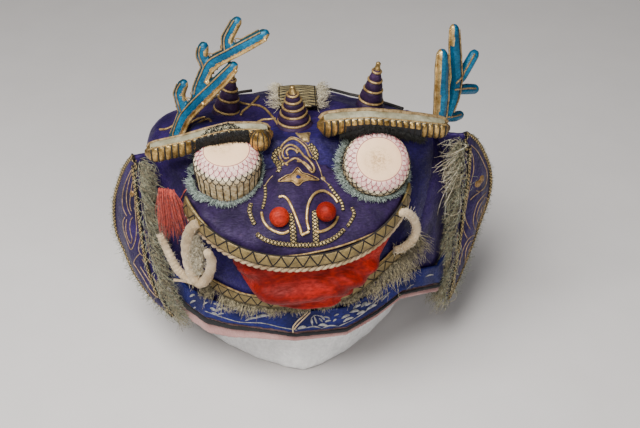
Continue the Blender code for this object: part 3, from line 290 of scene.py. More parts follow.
LOOKS = {
    "violet": satin("violet_satin", (0.010, 0.005, 0.034), (0.032, 0.015, 0.100), 0.40,
                    wear=(0.085, 0.050, 0.15)),
    "muzzle": satin("muzzle_satin", (0.013, 0.007, 0.028), (0.036, 0.019, 0.070), 0.46,
                    wear=(0.09, 0.05, 0.11), crease=0.6, specular=0.22),
    "pad": satin("pad_satin", (0.008, 0.005, 0.036), (0.022, 0.012, 0.100), 0.40, wear=(0.06, 0.035, 0.13)),
    "blue": satin("blue_satin", (0.006, 0.008, 0.060), (0.016, 0.020, 0.150), 0.36, crease=0.5),
    "horn": satin("horn_satin", (0.016, 0.007, 0.024), (0.046, 0.019, 0.062), 0.42, crease=0.4),
    "red": satin("red_satin", (0.14, 0.003, 0.0015), (0.40, 0.010, 0.004), 0.50, weave=1100.0, crease=0.08),
    "turquoise": satin("turquoise_satin", (0.002, 0.050, 0.115), (0.008, 0.150, 0.290), 0.32,
                       wear=(0.03, 0.26, 0.40), crease=0.4, specular=0.45),
    # darker antler cloth: painted shade on faces turned away from the light, and the left antler's dark
    # upper-left band
    "turquoise_painted_shade_and_band": satin("antler_painted_shade_and_band", (0.003, 0.024, 0.036), (0.008, 0.062, 0.085), 0.5, crease=0.4),
    "black": cloth("black_cloth", (0.003, 0.003, 0.004), (0.009, 0.008, 0.010), sheen=0.02),
    "pink": cloth("pink_lining", (0.33, 0.16, 0.15), (0.54, 0.32, 0.29), 0.88, 1300.0),
    "foam": cloth("foam_felt", (0.80, 0.80, 0.79), (0.93, 0.925, 0.915), 0.97, 420.0, 0.0016),
    "cream": cloth("cream_felt", (0.33, 0.23, 0.12), (0.66, 0.51, 0.33), 0.9, 900.0, 0.0005),
    "cream_twist": cloth("cream_twist", (0.22, 0.14, 0.06), (0.62, 0.47, 0.28), 0.75, 1600.0),
    "brow_top": cloth("brow_top", (0.13, 0.11, 0.05), (0.40, 0.38, 0.27), 0.85, 500.0, 0.0006, sheen=0.0),
    "gold": gold_thread("gold_thread", (0.17, 0.10, 0.03), (0.76, 0.54, 0.22), 0.85, 0.30),
    "rib_gold": gold_thread("rib_gold", (0.10, 0.055, 0.012), (0.76, 0.50, 0.17), 0.9, 0.28, 160.0),
    "pale_gold": gold_thread("pale_gold_thread", (0.16, 0.09, 0.03), (0.54, 0.37, 0.15), 0.55, 0.42),
    "brown_gold": gold_thread("brown_gold_thread", (0.13, 0.08, 0.03), (0.42, 0.29, 0.14), 0.35, 0.5),
    "bright_gold": gold_thread("bright_gold_leaf", (0.30, 0.17, 0.04), (0.90, 0.66, 0.30), 0.75, 0.30,
                               300.0),
    "silver": gold_thread("silver_thread", (0.12, 0.12, 0.13), (0.48, 0.46, 0.42), 0.25, 0.5),
    "bead": satin("red_thread_ball", (0.20, 0.006, 0.003), (0.50, 0.028, 0.010), 0.45),
    "net": cloth("net_thread", (0.004, 0.003, 0.003), (0.018, 0.012, 0.007), 0.7, sheen=0.0),
    "pink_net": cloth("pink_net_thread", (0.28, 0.045, 0.07), (0.44, 0.11, 0.14), 0.7, sheen=0.0),
    "green": strands_look("green_fringe", (0.045, 0.050, 0.028), (0.40, 0.41, 0.28)),
    "ruff": strands_look("ruff_fringe", (0.08, 0.11, 0.095), (0.42, 0.50, 0.44)),
    "tan": strands_look("tan_fringe", (0.05, 0.042, 0.018), (0.44, 0.37, 0.22)),
    "cream_fluff": strands_look("cream_fluff", (0.34, 0.28, 0.16), (0.80, 0.72, 0.56)),
    "black_fluff": strands_look("black_fur", (0.001, 0.001, 0.001), (0.009, 0.008, 0.005), sheen=0.0),
    "coral": strands_look("coral_thread", (0.15, 0.008, 0.005), (0.48, 0.050, 0.025)),
    "wire": cloth("wire_cover", (0.005, 0.004, 0.004), (0.020, 0.014, 0.010), 0.6, sheen=0.0),
    "tan_thread": gold_thread("tan_thread", (0.35, 0.24, 0.13), (0.72, 0.56, 0.36), 0.1, 0.6),
    "ear_thread": gold_thread("ear_thread", (0.16, 0.10, 0.05), (0.50, 0.35, 0.20), 0.3, 0.5),
    "flower_gold": gold_thread("flower_gold", (0.12, 0.065, 0.02), (0.42, 0.25, 0.09), 0.55, 0.42),
    "brocade_gold": gold_thread("brocade_gold", (0.09, 0.055, 0.02), (0.52, 0.37, 0.16), 0.6, 0.4),
    "lip_braid": zigzag_braid("lip_braid", 7.4 * MM, 3.0 * MM, (0.31, 0.22, 0.08), rim=0.25, line=0.44),
    "jaw_braid": zigzag_braid("jaw_braid", 7.0 * MM, 2.4 * MM, (0.28, 0.20, 0.075), rim=0.25, line=0.40),
    "ear_braid": zigzag_braid("ear_braid", 5.0 * MM, 1.6 * MM, (0.66, 0.48, 0.19), cross=True, line=0.34,
                              rim=0.3),
    "nose_braid": zigzag_braid("nose_braid", 3.6 * MM, 1.5 * MM, (0.60, 0.44, 0.18), cross=True, line=0.30,
                               rim=0.2),
    "spine_net": zigzag_braid("spine_net", 6.5 * MM, 9.5 * MM, (0.70, 0.56, 0.27), cross=True, line=0.50),
}


# Pieces

def linked(name, data):
    """New object that is part of the scene."""
    made = bpy.data.objects.new(name, data)
    bpy.context.scene.collection.objects.link(made)
    return made


def piece_of(name, mesh, look, replaces=()):
    """Piece that rides on the root."""
    piece = linked(name, mesh)
    mesh.materials.clear()
    mesh.materials.append(LOOKS[look] if isinstance(look, str) else look)
    mesh.shade_smooth()
    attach(piece, "root")
    if replaces:
        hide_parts(*replaces)
    return piece


def mesh_of(name, verts, faces, uvs=None):
    """Mesh from points in millimetres; uvs give a pair of millimetres for each point."""
    mesh = bpy.data.meshes.new(name)
    points = np.array([tuple(v) for v in verts]) * MM
    mesh.from_pydata(points.tolist(), [], faces)
    if uvs is not None:
        layer = mesh.uv_layers.new(name="UVMap")
        loops = np.zeros(len(mesh.loops), dtype=np.int32)
        mesh.loops.foreach_get("vertex_index", loops)
        layer.data.foreach_set("uv", (np.asarray(uvs, float)[loops] * MM).ravel())
    mesh.update()
    return mesh


def face_outwards(mesh, weld=None):
    """Turn a closed mesh's faces outwards, once points nearer than weld are joined."""
    shape = bmesh.new()
    shape.from_mesh(mesh)
    if weld:
        bmesh.ops.remove_doubles(shape, verts=shape.verts[:], dist=weld)
    bmesh.ops.recalc_face_normals(shape, faces=shape.faces[:])
    shape.to_mesh(mesh)
    shape.free()


def tube_faces(count, around, closed=False, capped=False):
    """Faces between rings of points that follow each other along a tube."""
    faces = []
    for i in range(count if closed else count - 1):
        near, far = i * around, (i + 1) % count * around
        for j in range(around):
            k = (j + 1) % around
            faces.append((near + j, near + k, far + k, far + j))
    if capped:
        faces.append(tuple(reversed(range(around))))
        faces.append(tuple((count - 1) * around + k for k in range(around)))
    return faces


def turns(count):
    """Even turns of a full circle, in radians."""
    return [2 * math.pi * k / count for k in range(count)]


def ring_place(radius, turn, height=0.0):
    return Vector((radius * math.cos(turn), radius * math.sin(turn), height))


def between(x, table, column=1):
    """Value of a column at x, where the first column holds the rows' x."""
    return float(np.interp(x, [row[0] for row in table], [row[column] for row in table]))


def drawn_out(values, count):
    """A few evenly spaced values drawn out to a longer run."""
    return np.interp(np.linspace(0, 1, count), np.linspace(0, 1, len(values)), values)


def world_mesh(names):
    """One bmesh of several solids of the frame, in metres."""
    shape = bmesh.new()
    for name in names:
        node = bpy.data.objects[name]
        part = node.data.copy()
        part.transform(node.matrix_world)
        shape.from_mesh(part)
        bpy.data.meshes.remove(part)
    return shape


def tree_of(piece):
    graph = bpy.context.evaluated_depsgraph_get()
    return BVHTree.FromObject(piece, graph)


def smooth_mesh(mesh, rounds):
    """Even a mesh out without shrinking it much."""
    shape = bmesh.new()
    shape.from_mesh(mesh)
    for _ in range(rounds):
        for factor in (0.5, -0.48):
            bmesh.ops.smooth_vert(shape, verts=shape.verts[:], factor=factor,
                                  use_axis_x=True, use_axis_y=True, use_axis_z=True)
    shape.to_mesh(mesh)
    shape.free()


def fine_skin(name, nodes, look, voxel, rounds, folds=0.0, fold_size=1.0, seed=0.0, mould=None):
    """Grow a fine, rounded skin from solids: remesh, even out, then press in folds."""
    shape = world_mesh(nodes)
    rough = bpy.data.meshes.new(name + "_rough")
    shape.to_mesh(rough)
    shape.free()
    start = linked(name + "_start", rough)
    maker = start.modifiers.new("remesh", "REMESH")
    maker.mode = "VOXEL"
    maker.voxel_size = voxel * MM
    graph = bpy.context.evaluated_depsgraph_get()
    mesh = bpy.data.meshes.new_from_object(start.evaluated_get(graph))
    bpy.data.objects.remove(start, do_unlink=True)
    smooth_mesh(mesh, rounds)
    count = len(mesh.vertices)
    places, normals = np.zeros(count * 3), np.zeros(count * 3)
    mesh.vertices.foreach_get("co", places)
    mesh.vertices.foreach_get("normal", normals)
    places, normals = places.reshape(-1, 3), normals.reshape(-1, 3)
    shift = np.zeros(count)
    if folds:
        shift += folds * MM * (ripple(places / MM / fold_size, seed) - 0.35)
    if mould:
        shift += mould(places / MM, normals) * MM
    mesh.vertices.foreach_set("co", (places + normals * shift[:, None]).ravel())
    mesh.name = name
    mesh.update()
    return piece_of(name, mesh, look, nodes)


def ripple(places, seed):
    """Soft uneven waves between about -1 and 1, from a few crossed sines."""
    x, y, z = places[:, 0], places[:, 1], places[:, 2]
    value = np.zeros(len(places))
    for k in range(5):
        a, b, c = (math.sin(seed * 3.1 + k * 1.7 + i * 2.3) * 1.5 for i in range(3))
        value += np.sin(a * x + b * y + c * z + k * 1.9 + seed + 0.9 * np.sin(b * x - c * y + a * z + k))
    return value / 3.6


def rays(tree, xs, zs, lift):
    """Points on a skin seen from the front, each lifted off along the skin's normal."""
    points = []
    for x, z in zip(xs, zs):
        hit, normal, _, _ = tree.ray_cast(Vector((x, -260.0, z)) * MM, Vector((0, 1, 0)))
        if hit is None:
            hit, normal, _, _ = tree.find_nearest(Vector((x, -60.0, z)) * MM)
        points.append(hit / MM + normal * lift)
    return points


def eased(points, count, closed=False):
    """Even run of points along a smooth curve through the given ones."""
    points = [Vector(p) for p in points]
    total = len(points)
    path = []
    spans = total if closed else total - 1
    per_span = max(2, int(math.ceil(count / spans)))
    for i in range(spans):
        if closed:
            a, b, c, d = (points[(i + k - 1) % total] for k in range(4))
        else:
            a, b = points[max(i - 1, 0)], points[i]
            c, d = points[i + 1], points[min(i + 2, total - 1)]
        for k in range(per_span):
            t = k / per_span
            square, cube = 2 * a - 5 * b + 4 * c - d, 3 * b - a - 3 * c + d
            path.append(0.5 * (2 * b + (c - a) * t + square * t * t + cube * t ** 3))
    if not closed:
        path.append(points[-1])
    return path


def seen_along(tree, line, count, lift, closed=False):
    """Places on a skin along a smooth curve through pixels of the photograph."""
    curve = eased([(x, y, 0) for x, y in line], count, closed)
    return seen_on(tree, [(p.x, p.y) for p in curve], lift)


class Tubes:
    """Collects round threads and strands into one mesh."""

    def __init__(self):
        self.verts, self.faces = [], []

    def cover(self, start, faces):
        """Add faces whose numbers count on from the point at start."""
        self.faces += [tuple(start + i for i in face) for face in faces]

    def add(self, points, radius, sides=6, closed=False, taper=None, flat=1.0):
        count = len(points)
        if count < 2:
            return
        start, previous = len(self.verts), None
        for i, point in enumerate(points):
            ahead = points[(i + 1) % count] if closed or i + 1 < count else point
            behind = points[i - 1] if closed or i > 0 else point
            run = ahead - behind
            if run.length < 1e-9:
                run = previous or Vector((0, 0, 1))
            run.normalize()
            previous = run
            side = run.cross(Vector((0, -1, 0.3)))
            if side.length < 1e-3:
                side = run.cross(Vector((1, 0, 0)))
            side.normalize()
            up = side.cross(run).normalized()
            size = radius if taper is None else radius * taper(i / (count - 1))
            for turn in turns(sides):
                place = point + side * (size * math.cos(turn)) + up * (size * flat * math.sin(turn))
                self.verts.append(place)
        self.cover(start, tube_faces(count, sides, closed, capped=not closed))

    def piece(self, name, look, replaces=(), slot=None):
        mesh = mesh_of(name, self.verts, self.faces)
        face_outwards(mesh)
        return piece_of(name, mesh, look, replaces)


def threads_piece(name, lines, radius, look, sides=6, replaces=(), closed=False):
    """Threads of one thickness as one piece."""
    tubes = Tubes()
    for line in lines:
        tubes.add(line, radius, sides, closed)
    return tubes.piece(name, look, replaces)


def couch_seen(name, tree, lines, radius, look, lift=0.2, replaces=(), count=70):
    """Thread laid on a skin along lines given in the photograph's pixels."""
    threads = [seen_along(tree, line, count, lift) for line in lines]
    return threads_piece(name, threads, radius, look, replaces=replaces)


def patches_seen(name, tree, outlines, look, lift=0.3, middle=None):
    """Padded leaves that fill outlines in the photograph's pixels."""
    leaves, rings = Tubes(), 4
    for outline in outlines:
        rim = eased([(x, y, 0) for x, y in outline], 44, closed=True)
        centre = Vector((*middle, 0)) if middle else sum(rim, Vector()) / len(rim)
        start, count = len(leaves.verts), len(rim)
        for ring in range(rings + 1):
            share = 1 - ring / (rings + 0.4)
            spots = [centre + (p - centre) * share for p in rim]
            height = -0.4 if ring == 0 else lift + 0.35 * math.sin(math.pi / 2 * ring / rings)
            leaves.verts += seen_on(tree, [(p.x, p.y) for p in spots], height)
        cap = tuple(rings * count + k for k in range(count))
        leaves.cover(start, tube_faces(rings + 1, count) + [cap])
    return leaves.piece(name, look)


def strip_piece(name, path, across, half_width, look, replaces=(), crown=0.5, thick=1.0,
                closed=False):
    """Flat braid along a path. across gives the unit run over its width at each point."""
    count, columns = len(path), 7
    verts, uvs, run = [], [], 0.0
    widths = half_width if hasattr(half_width, "__len__") else [half_width] * count
    for i, point in enumerate(path):
        if i:
            run += (point - path[i - 1]).length
        ahead = path[(i + 1) % count] if closed or i + 1 < count else path[i]
        behind = path[i - 1] if closed or i > 0 else path[i]
        along = (ahead - behind).normalized()
        side = (across[i] - along * across[i].dot(along)).normalized()
        out = along.cross(side).normalized()
        if out.y > 0.35 or (abs(out.y) <= 0.35 and out.dot(Vector((0, -1, 0.8))) < 0):
            out = -out
        for over in (True, False):
            for k in range(columns):
                share = 2.0 * k / (columns - 1) - 1.0
                share = share if over else -share
                lift = (thick + crown * (1 - share * share)) if over else 0.0
                verts.append(point + side * (share * widths[i]) + out * lift)
                uvs.append((run, share * widths[i]))
    mesh = mesh_of(name, verts, tube_faces(count, 2 * columns, closed, capped=not closed), uvs)
    face_outwards(mesh)
    return piece_of(name, mesh, look, replaces)


def fringe(name, root, reach, count, look, radius, curl, spread, steps, seed, replaces=()):
    """Loose threads: root and reach take 0..1 along the fringe."""
    chance = np.random.default_rng(seed)
    tubes = Tubes()
    for i in range(count):
        t = (i + chance.uniform(0, 1)) / count
        start, run = root(t), reach(t)
        length = run.length
        run = run * chance.uniform(0.72, 1.18)
        lean = Vector(chance.normal(0, spread, 3)) * length
        bend = Vector(chance.normal(0, curl, 3)) * length
        start = start + Vector(chance.normal(0, 0.35, 3))
        points = []
        for k in range(steps + 1):
            s = k / steps
            points.append(start + (run + lean) * s + bend * (s * (1 - s)) * 2.0)
        tubes.add(points, radius * chance.uniform(0.7, 1.3), 3, taper=lambda s: 1.0 - 0.55 * s)
    return tubes.piece(name, look, replaces)


def polyline(points):
    """Way along straight lines between points, as a function of 0..1."""
    def at(t):
        place = min(max(t, 0.0), 1.0) * (len(points) - 1)
        low = min(int(place), len(points) - 2)
        return points[low].lerp(points[low + 1], place - low)
    return at


# Stage

def make_camera():
    place, right, up, back = camera_axes()
    data = bpy.data.cameras.new("camera")
    data.lens, data.sensor_width, data.clip_start = LENS, SENSOR, 0.01
    camera = linked("camera", data)
    camera.matrix_world = Matrix.Translation(place * MM) @ Matrix((right, up, back)).transposed().to_4x4()
    bpy.context.scene.camera = camera


def make_light(name, place, aim, size, watts, colour):
    data = bpy.data.lights.new(name, "AREA")
    data.shape, data.size, data.energy, data.color = "DISK", size, watts, colour
    light = linked(name, data)
    light.location = place
    light.rotation_euler = (Vector(aim) - Vector(place)).to_track_quat("-Z", "Y").to_euler()


def make_stage():
    """Paper floor, a soft key light from above on the left and a weak front light."""
    mesh = bpy.data.meshes.new("floor")
    half = 3.0
    corners = [(-half, -half, 0), (half, -half, 0), (half, half, 0), (-half, half, 0)]
    mesh.from_pydata(corners, [], [(0, 1, 2, 3)])
    look = Look("paper_floor", 0.85)
    mottle = look.ramp(look.noise(30.0, 3.0), 0.3, 0.7)
    look.colour(look.mix(mottle, (0.60, 0.575, 0.565), (0.62, 0.595, 0.585)))
    mesh.materials.append(look.material)
    linked("floor", mesh)
    make_light("key", (-0.26, -0.32, 0.75), (0.10, -0.15, 0.0), size=0.60, watts=14.5,
               colour=(1.0, 0.985, 0.96))
    make_light("front", (0.25, -0.90, 0.40), (0.05, -0.05, 0.04), size=0.5, watts=3.5,
               colour=(1.0, 0.99, 0.98))
    world = bpy.data.worlds.new("studio")
    world.use_nodes = True
    sky = world.node_tree.nodes["Background"].inputs
    sky[0].default_value = (0.80, 0.81, 0.83, 1.0)
    sky[1].default_value = 0.14
    bpy.context.scene.world = world


# Body of the hat

def crown_folds(places, normals):
    """Creases that run down from the spine, deepest near the top."""
    x, y, z = places[:, 0], places[:, 1], places[:, 2]
    top = np.clip((z - 100) / 30, 0, 1)
    crease = np.sin(x * 0.16 + 0.6 * np.sin(y * 0.08)) * np.sin(y * 0.10 + 1.0)
    out = np.clip(normals[:, 2] * 2, 0, 1)
    return 0.9 * top * crease * out


def muzzle_folds(places, normals):
    """Creases that fan out from the left corner of the mouth."""
    x, z = places[:, 0], places[:, 2]
    turn = np.arctan2(z - 104, x + 66)
    near = np.exp(-(((x + 50) / 17) ** 2)) * np.clip((z - 104) / 6, 0, 1)
    return 0.9 * near * np.sin(turn * 13 + 0.08 * x)


def make_body():
    fine_skin("foam_form", ["foam_stand"], "foam", voxel=3.0, rounds=10)
    crown = fine_skin("crown_skin", ["crown"], "violet", voxel=1.9, rounds=14, folds=0.55, fold_size=15.0,
                      seed=1.0, mould=crown_folds)
    band = fine_skin("band_skin", ["rim_band"], "blue", voxel=0.85, rounds=8, folds=0.3, fold_size=8.0,
                     seed=3.0)
    fine_skin("binding_skin", ["rim_binding"], "black", voxel=0.6, rounds=5, folds=0.12, fold_size=6.0,
              seed=4.0)
    fine_skin("lining_skin", ["rim_lining"], "pink", voxel=0.72, rounds=5, folds=0.15, fold_size=7.0,
              seed=5.0)
    pad = fine_skin("pad_skin", ["face_pad"], "pad", voxel=1.5, rounds=20, folds=0.7, fold_size=13.0,
                    seed=6.0)
    muzzle = fine_skin("muzzle_skin", ["muzzle", "nose_pad"], "muzzle", voxel=1.3, rounds=26, folds=0.35,
                       fold_size=10.0, seed=7.0, mould=muzzle_folds)
    return [tree_of(piece) for piece in (crown, band, pad, muzzle)]


def tongue_folds(places, normals):
    """Long slanting folds that gather towards the lower right."""
    x, z = places[:, 0], places[:, 2]
    front = np.clip(-normals[:, 1] * 1.6, 0, 1)
    slant = np.sin((z * 0.95 - x * 0.30) * 0.34 + 1.2 * np.sin(x * 0.05) + 0.6)
    fade = np.clip((98 - z) / 8, 0, 1)
    tug = np.exp(-((x - 6) / 18) ** 2 - ((z - 70) / 4.5) ** 2)
    fine = np.sin((z + 0.75 * x) * 0.50 + 2.0) * np.clip((x + 12) / 30, 0, 1)
    return front * fade * (2.0 * slant + 0.9 * fine - 2.2 * tug)


def make_tongue():
    fine_skin("tongue_skin", ["tongue"], "red", voxel=1.0, rounds=14, folds=0.3, fold_size=9.0, seed=9.0,
              mould=tongue_folds)


# Lips. The first number of a row is a place across the face. LOWER_LIP gives the lip's
# height there, and JAW_REACH the length of the fringe there, where 1 is its usual length.

LIP_HALF, LIP_FRONT, LIP_BACK, LIP_POWER = 60.9, -98.5, -45.0, 2.3
LIP_LINE_PIXELS = ((239, 248), (250, 251), (262, 254), (280, 256), (298, 255), (315, 252), (333, 248),
                   (352, 242), (367, 236), (380, 230))
LOWER_LIP = ((-68, 69.5), (-53, 69.0), (-40, 68.5), (-20, 68.8), (0, 69.8), (18, 72.5), (32, 79.5),
             (44, 86.0), (53, 87.2), (62, 84.0), (74, 79.0))
JAW_REACH = ((-63, 0.85), (-45, 0.72), (-28, 0.42), (0, 0.25), (22, 0.38), (34, 0.9), (48, 1.15), (66, 1.1))


def smile(x):
    return SMILE_RISE * (abs(x - SMILE_MIDDLE) / SMILE_HALF) ** SMILE_POWER


def lip_path(height, count, start):
    """Way round the muzzle at a height, from the left corner of the mouth to the right one."""
    path, outward = [], []
    for i in range(count + 1):
        turn = math.radians(180 + start + (180 - 2 * start) * i / count)
        bend = 2.0 / LIP_POWER
        c, s = math.cos(turn), math.sin(turn)
        x = SMILE_MIDDLE + LIP_HALF * math.copysign(abs(c) ** bend, c)
        y = LIP_BACK + (LIP_BACK - LIP_FRONT) * math.copysign(abs(s) ** bend, s)
        path.append(Vector((x, y, height + smile(x))))
        outward.append(Vector((c, s, 0)))
    return path, outward


def lower_lip_height(x):
    return between(x, LOWER_LIP)


def make_lips(pad_tree, muzzle_tree):
    count = 120
    path, _ = lip_path(103.6, count, start=17.0)
    widths = []
    for i in range(count + 1):
        widths.append(3.2 + 2.6 * max(0.0, 1.0 - i / 18) + max(0.0, 1.0 - (count - i) / 12))
    over = [Vector((0, 0.2, 1.0))] * len(path)
    strip_piece("upper_lip_braid", path, over, widths, "lip_braid", ["upper_lip"])
    couch_seen("upper_lip_line", muzzle_tree, (LIP_LINE_PIXELS,), 0.55, "pale_gold", 0.3, count=90)

    # two yarns twisted round each other
    middle, outward = lip_path(98.2, 260, start=19.0)
    yarns, off, pitch = [], 0.75, 7.0
    for phase in (0.0, math.pi):
        yarn, twist = [], 0.0
        for i, point in enumerate(middle):
            if i:
                twist += (point - middle[i - 1]).length * 2 * math.pi / pitch
            turn = twist + phase
            yarn.append(point + outward[i] * (off * math.cos(turn)) + Vector((0, 0, off * math.sin(turn))))
        yarns.append(yarn)
    threads_piece("lip_piping_twist", yarns, 0.95, "cream_twist", 7, ["upper_lip_piping"])

    xs = np.linspace(-63, 66, 80)
    lower = [lower_lip_height(x) for x in xs]
    path = rays(pad_tree, xs, lower, 0.5)
    over = [Vector((0, 0.1, 1.0))] * len(path)
    strip_piece("lower_lip_braid", path, over, 3.0, "jaw_braid", ["lower_lip"], thick=1.4)
    lines = [rays(pad_tree, xs, [z + drop for z in lower], 1.2) for drop in (-3.3, 3.4)]
    threads_piece("lower_lip_lines", lines, 0.4, "pale_gold")


def make_jaw_fringe(pad_tree):
    def root(t):
        x = -63 + 129 * t
        return rays(pad_tree, [x], [lower_lip_height(x) - 3.4], 1.6)[0]

    def reach(t):
        x = -63 + 129 * t
        share = between(x, JAW_REACH) + 0.12 * math.sin(t * 61)
        return Vector((x / 24.0 + 1.2 * math.sin(t * 90), -3.4, -8.2)) * share

    fringe("jaw_fringe_threads", root, reach, 1900, "tan", radius=0.17, curl=0.30, spread=0.32, steps=4,
           seed=11, replaces=["jaw_fringe"])


# Eyes and brows. EYE_PROFILE gives the height above the seat and the radius there.

EYE_PLACES = {
    "left": {"seat": Vector((-40.1, -52.5, 129.5)), "rise": 79.0, "swing": -8.0,
             "stain": Vector((-3.0, 4.0, 17))},
    "right": {"seat": Vector((37.0, -54.5, 127.4)), "rise": 50.0, "swing": 3.0,
              "stain": Vector((-1.0, -1.0, 17))},
}
EYE_PROFILE = [(-11.5, 16.4), (-4, 16.8), (4, 17.3), (8.5, 17.6), (11, 17.0), (13.2, 15.7), (15, 14.0),
               (16.2, 12.0), (16.8, 9.0), (17.1, 5.0), (17.2, 0.0)]


def eye_axis(side):
    place = EYE_PLACES[side]
    rise, swing = math.radians(place["rise"]), math.radians(place["swing"])
    return Vector((math.sin(swing) * math.cos(rise), -math.cos(swing) * math.cos(rise), math.sin(rise)))


RUFF_RADIUS = 17.9


def make_eye(side, pad_tree):
    seat, axis = EYE_PLACES[side]["seat"], eye_axis(side)
    turn_to = Vector((0, 0, 1)).rotation_difference(axis)

    def spot(turn, height, lift=0.0):
        radius = between(height, EYE_PROFILE) + lift
        return seat + turn_to @ ring_place(radius, turn, height + lift * 0.3)

    around, verts = 96, []
    rows = [*np.linspace(-11.5, 8, 10), *np.linspace(9, 16.2, 12), 16.6, 16.85, 17.0, 17.1, 17.18]
    for height in rows:
        for turn in turns(around):
            lump = 0.18 * math.sin(turn * 5 + height) + 0.12 * math.sin(turn * 9 - height * 2)
            verts.append(spot(turn, height, lump if height < 16 else 0.0))
    faces = tube_faces(len(rows), around)
    verts.append(seat + axis * 17.25)
    last = (len(rows) - 1) * around
    faces += [(last + k, last + (k + 1) % around, len(verts) - 1) for k in range(around)]
    faces.append(tuple(reversed(range(around))))
    mesh = mesh_of("eye_" + side + "_pad", verts, faces)
    stain = seat + turn_to @ EYE_PLACES[side]["stain"]
    look = eye_look("eye_cloth_" + side, seat * MM, axis, stain * MM)
    piece_of("eye_pad_" + side, mesh, look, ["eye_" + side])

    # scale net over the shoulder: pink thread above, black below
    pink, black = Tubes(), Tubes()
    cells = 30
    pink.add([spot(turn, 16.25, 0.1) for turn in turns(72)], 0.2, 5, closed=True)
    net = ((16.1, 14.6, pink), (14.6, 12.6, pink), (12.6, 10.4, black), (10.4, 8.0, black))
    for row, (high, low, thread) in enumerate(net):
        for k in range(cells):
            middle = 2 * math.pi * (k + 0.5 * (row % 2)) / cells
            half = math.pi / cells
            arc = []
            for j in range(7):
                s = j / 6
                drop = (high - low) * math.sin(math.pi * s) ** 0.45
                arc.append(spot(middle - half + 2 * half * s, high - drop, 0.12))
            thread.add(arc, 0.17 if thread is pink else 0.24, 5)
    for k in range(cells):
        turn = 2 * math.pi * (k + 0.5) / cells
        black.add([spot(turn, height, 0.15) for height in (8.0, 5.0, 1.0, -3.0, -7.0)], 0.3, 5)
    pink.piece("eye_net_pink_" + side, "pink_net")
    black.piece("eye_net_black_" + side, "net")

    def skin(turn, radius, lift):
        start = seat + axis * 60 + turn_to @ ring_place(radius, turn)
        hit, normal, _, _ = pad_tree.ray_cast(start * MM, -axis)
        return seat + turn_to @ ring_place(radius, turn, -2) if hit is None else hit / MM + normal * lift

    def ruff_turn(t):
        return math.radians(120 + 300 * t)

    def root(t):
        return skin(ruff_turn(t), RUFF_RADIUS, 1.0)

    def reach(t):
        turn = ruff_turn(t)
        wide = RUFF_RADIUS + 2.7 + 1.6 * math.cos(turn - math.radians(200))
        return skin(turn, wide, 2.0) - root(t)

    fringe("eye_ruff_threads_" + side, root, reach, 1000, "ruff", radius=0.14, curl=0.12, spread=0.14,
           steps=3, seed=21, replaces=["eye_ruff_" + side])


# Rows of the bars: place across the face, depth, height, half height and half depth
BROWS = {
    "left": [(-82.5, -44.0, 140.0, 3.6, 3.2), (-76.0, -45.2, 141.2, 5.4, 4.2),
             (-62.0, -46.8, 144.8, 5.2, 4.3), (-50.0, -47.4, 149.2, 4.0, 4.3),
             (-39.0, -47.4, 151.8, 3.6, 4.3), (-28.0, -47.4, 151.2, 3.8, 4.2),
             (-21.0, -47.2, 148.6, 5.8, 4.6), (-15.5, -46.5, 147.8, 3.6, 3.4)],
    "right": [(7.5, -46.5, 151.5, 3.8, 3.6), (13.0, -47.0, 151.6, 6.2, 5.0), (21.0, -47.0, 153.0, 5.0, 5.0),
              (34.0, -47.0, 153.6, 4.0, 5.0), (48.0, -46.8, 150.8, 4.6, 5.0),
              (62.0, -46.0, 147.0, 5.4, 5.0), (73.0, -44.5, 143.8, 5.2, 4.4),
              (79.0, -43.5, 142.5, 3.4, 3.2)],
}
BROW_FUR = {"left": (-56.0, -28.5), "right": (22.0, 62.0)}
WOUND_TOP, WOUND_SWEEP = 118, 150


def brow_at(side, x):
    return [between(x, BROWS[side], column) for column in range(1, 5)]


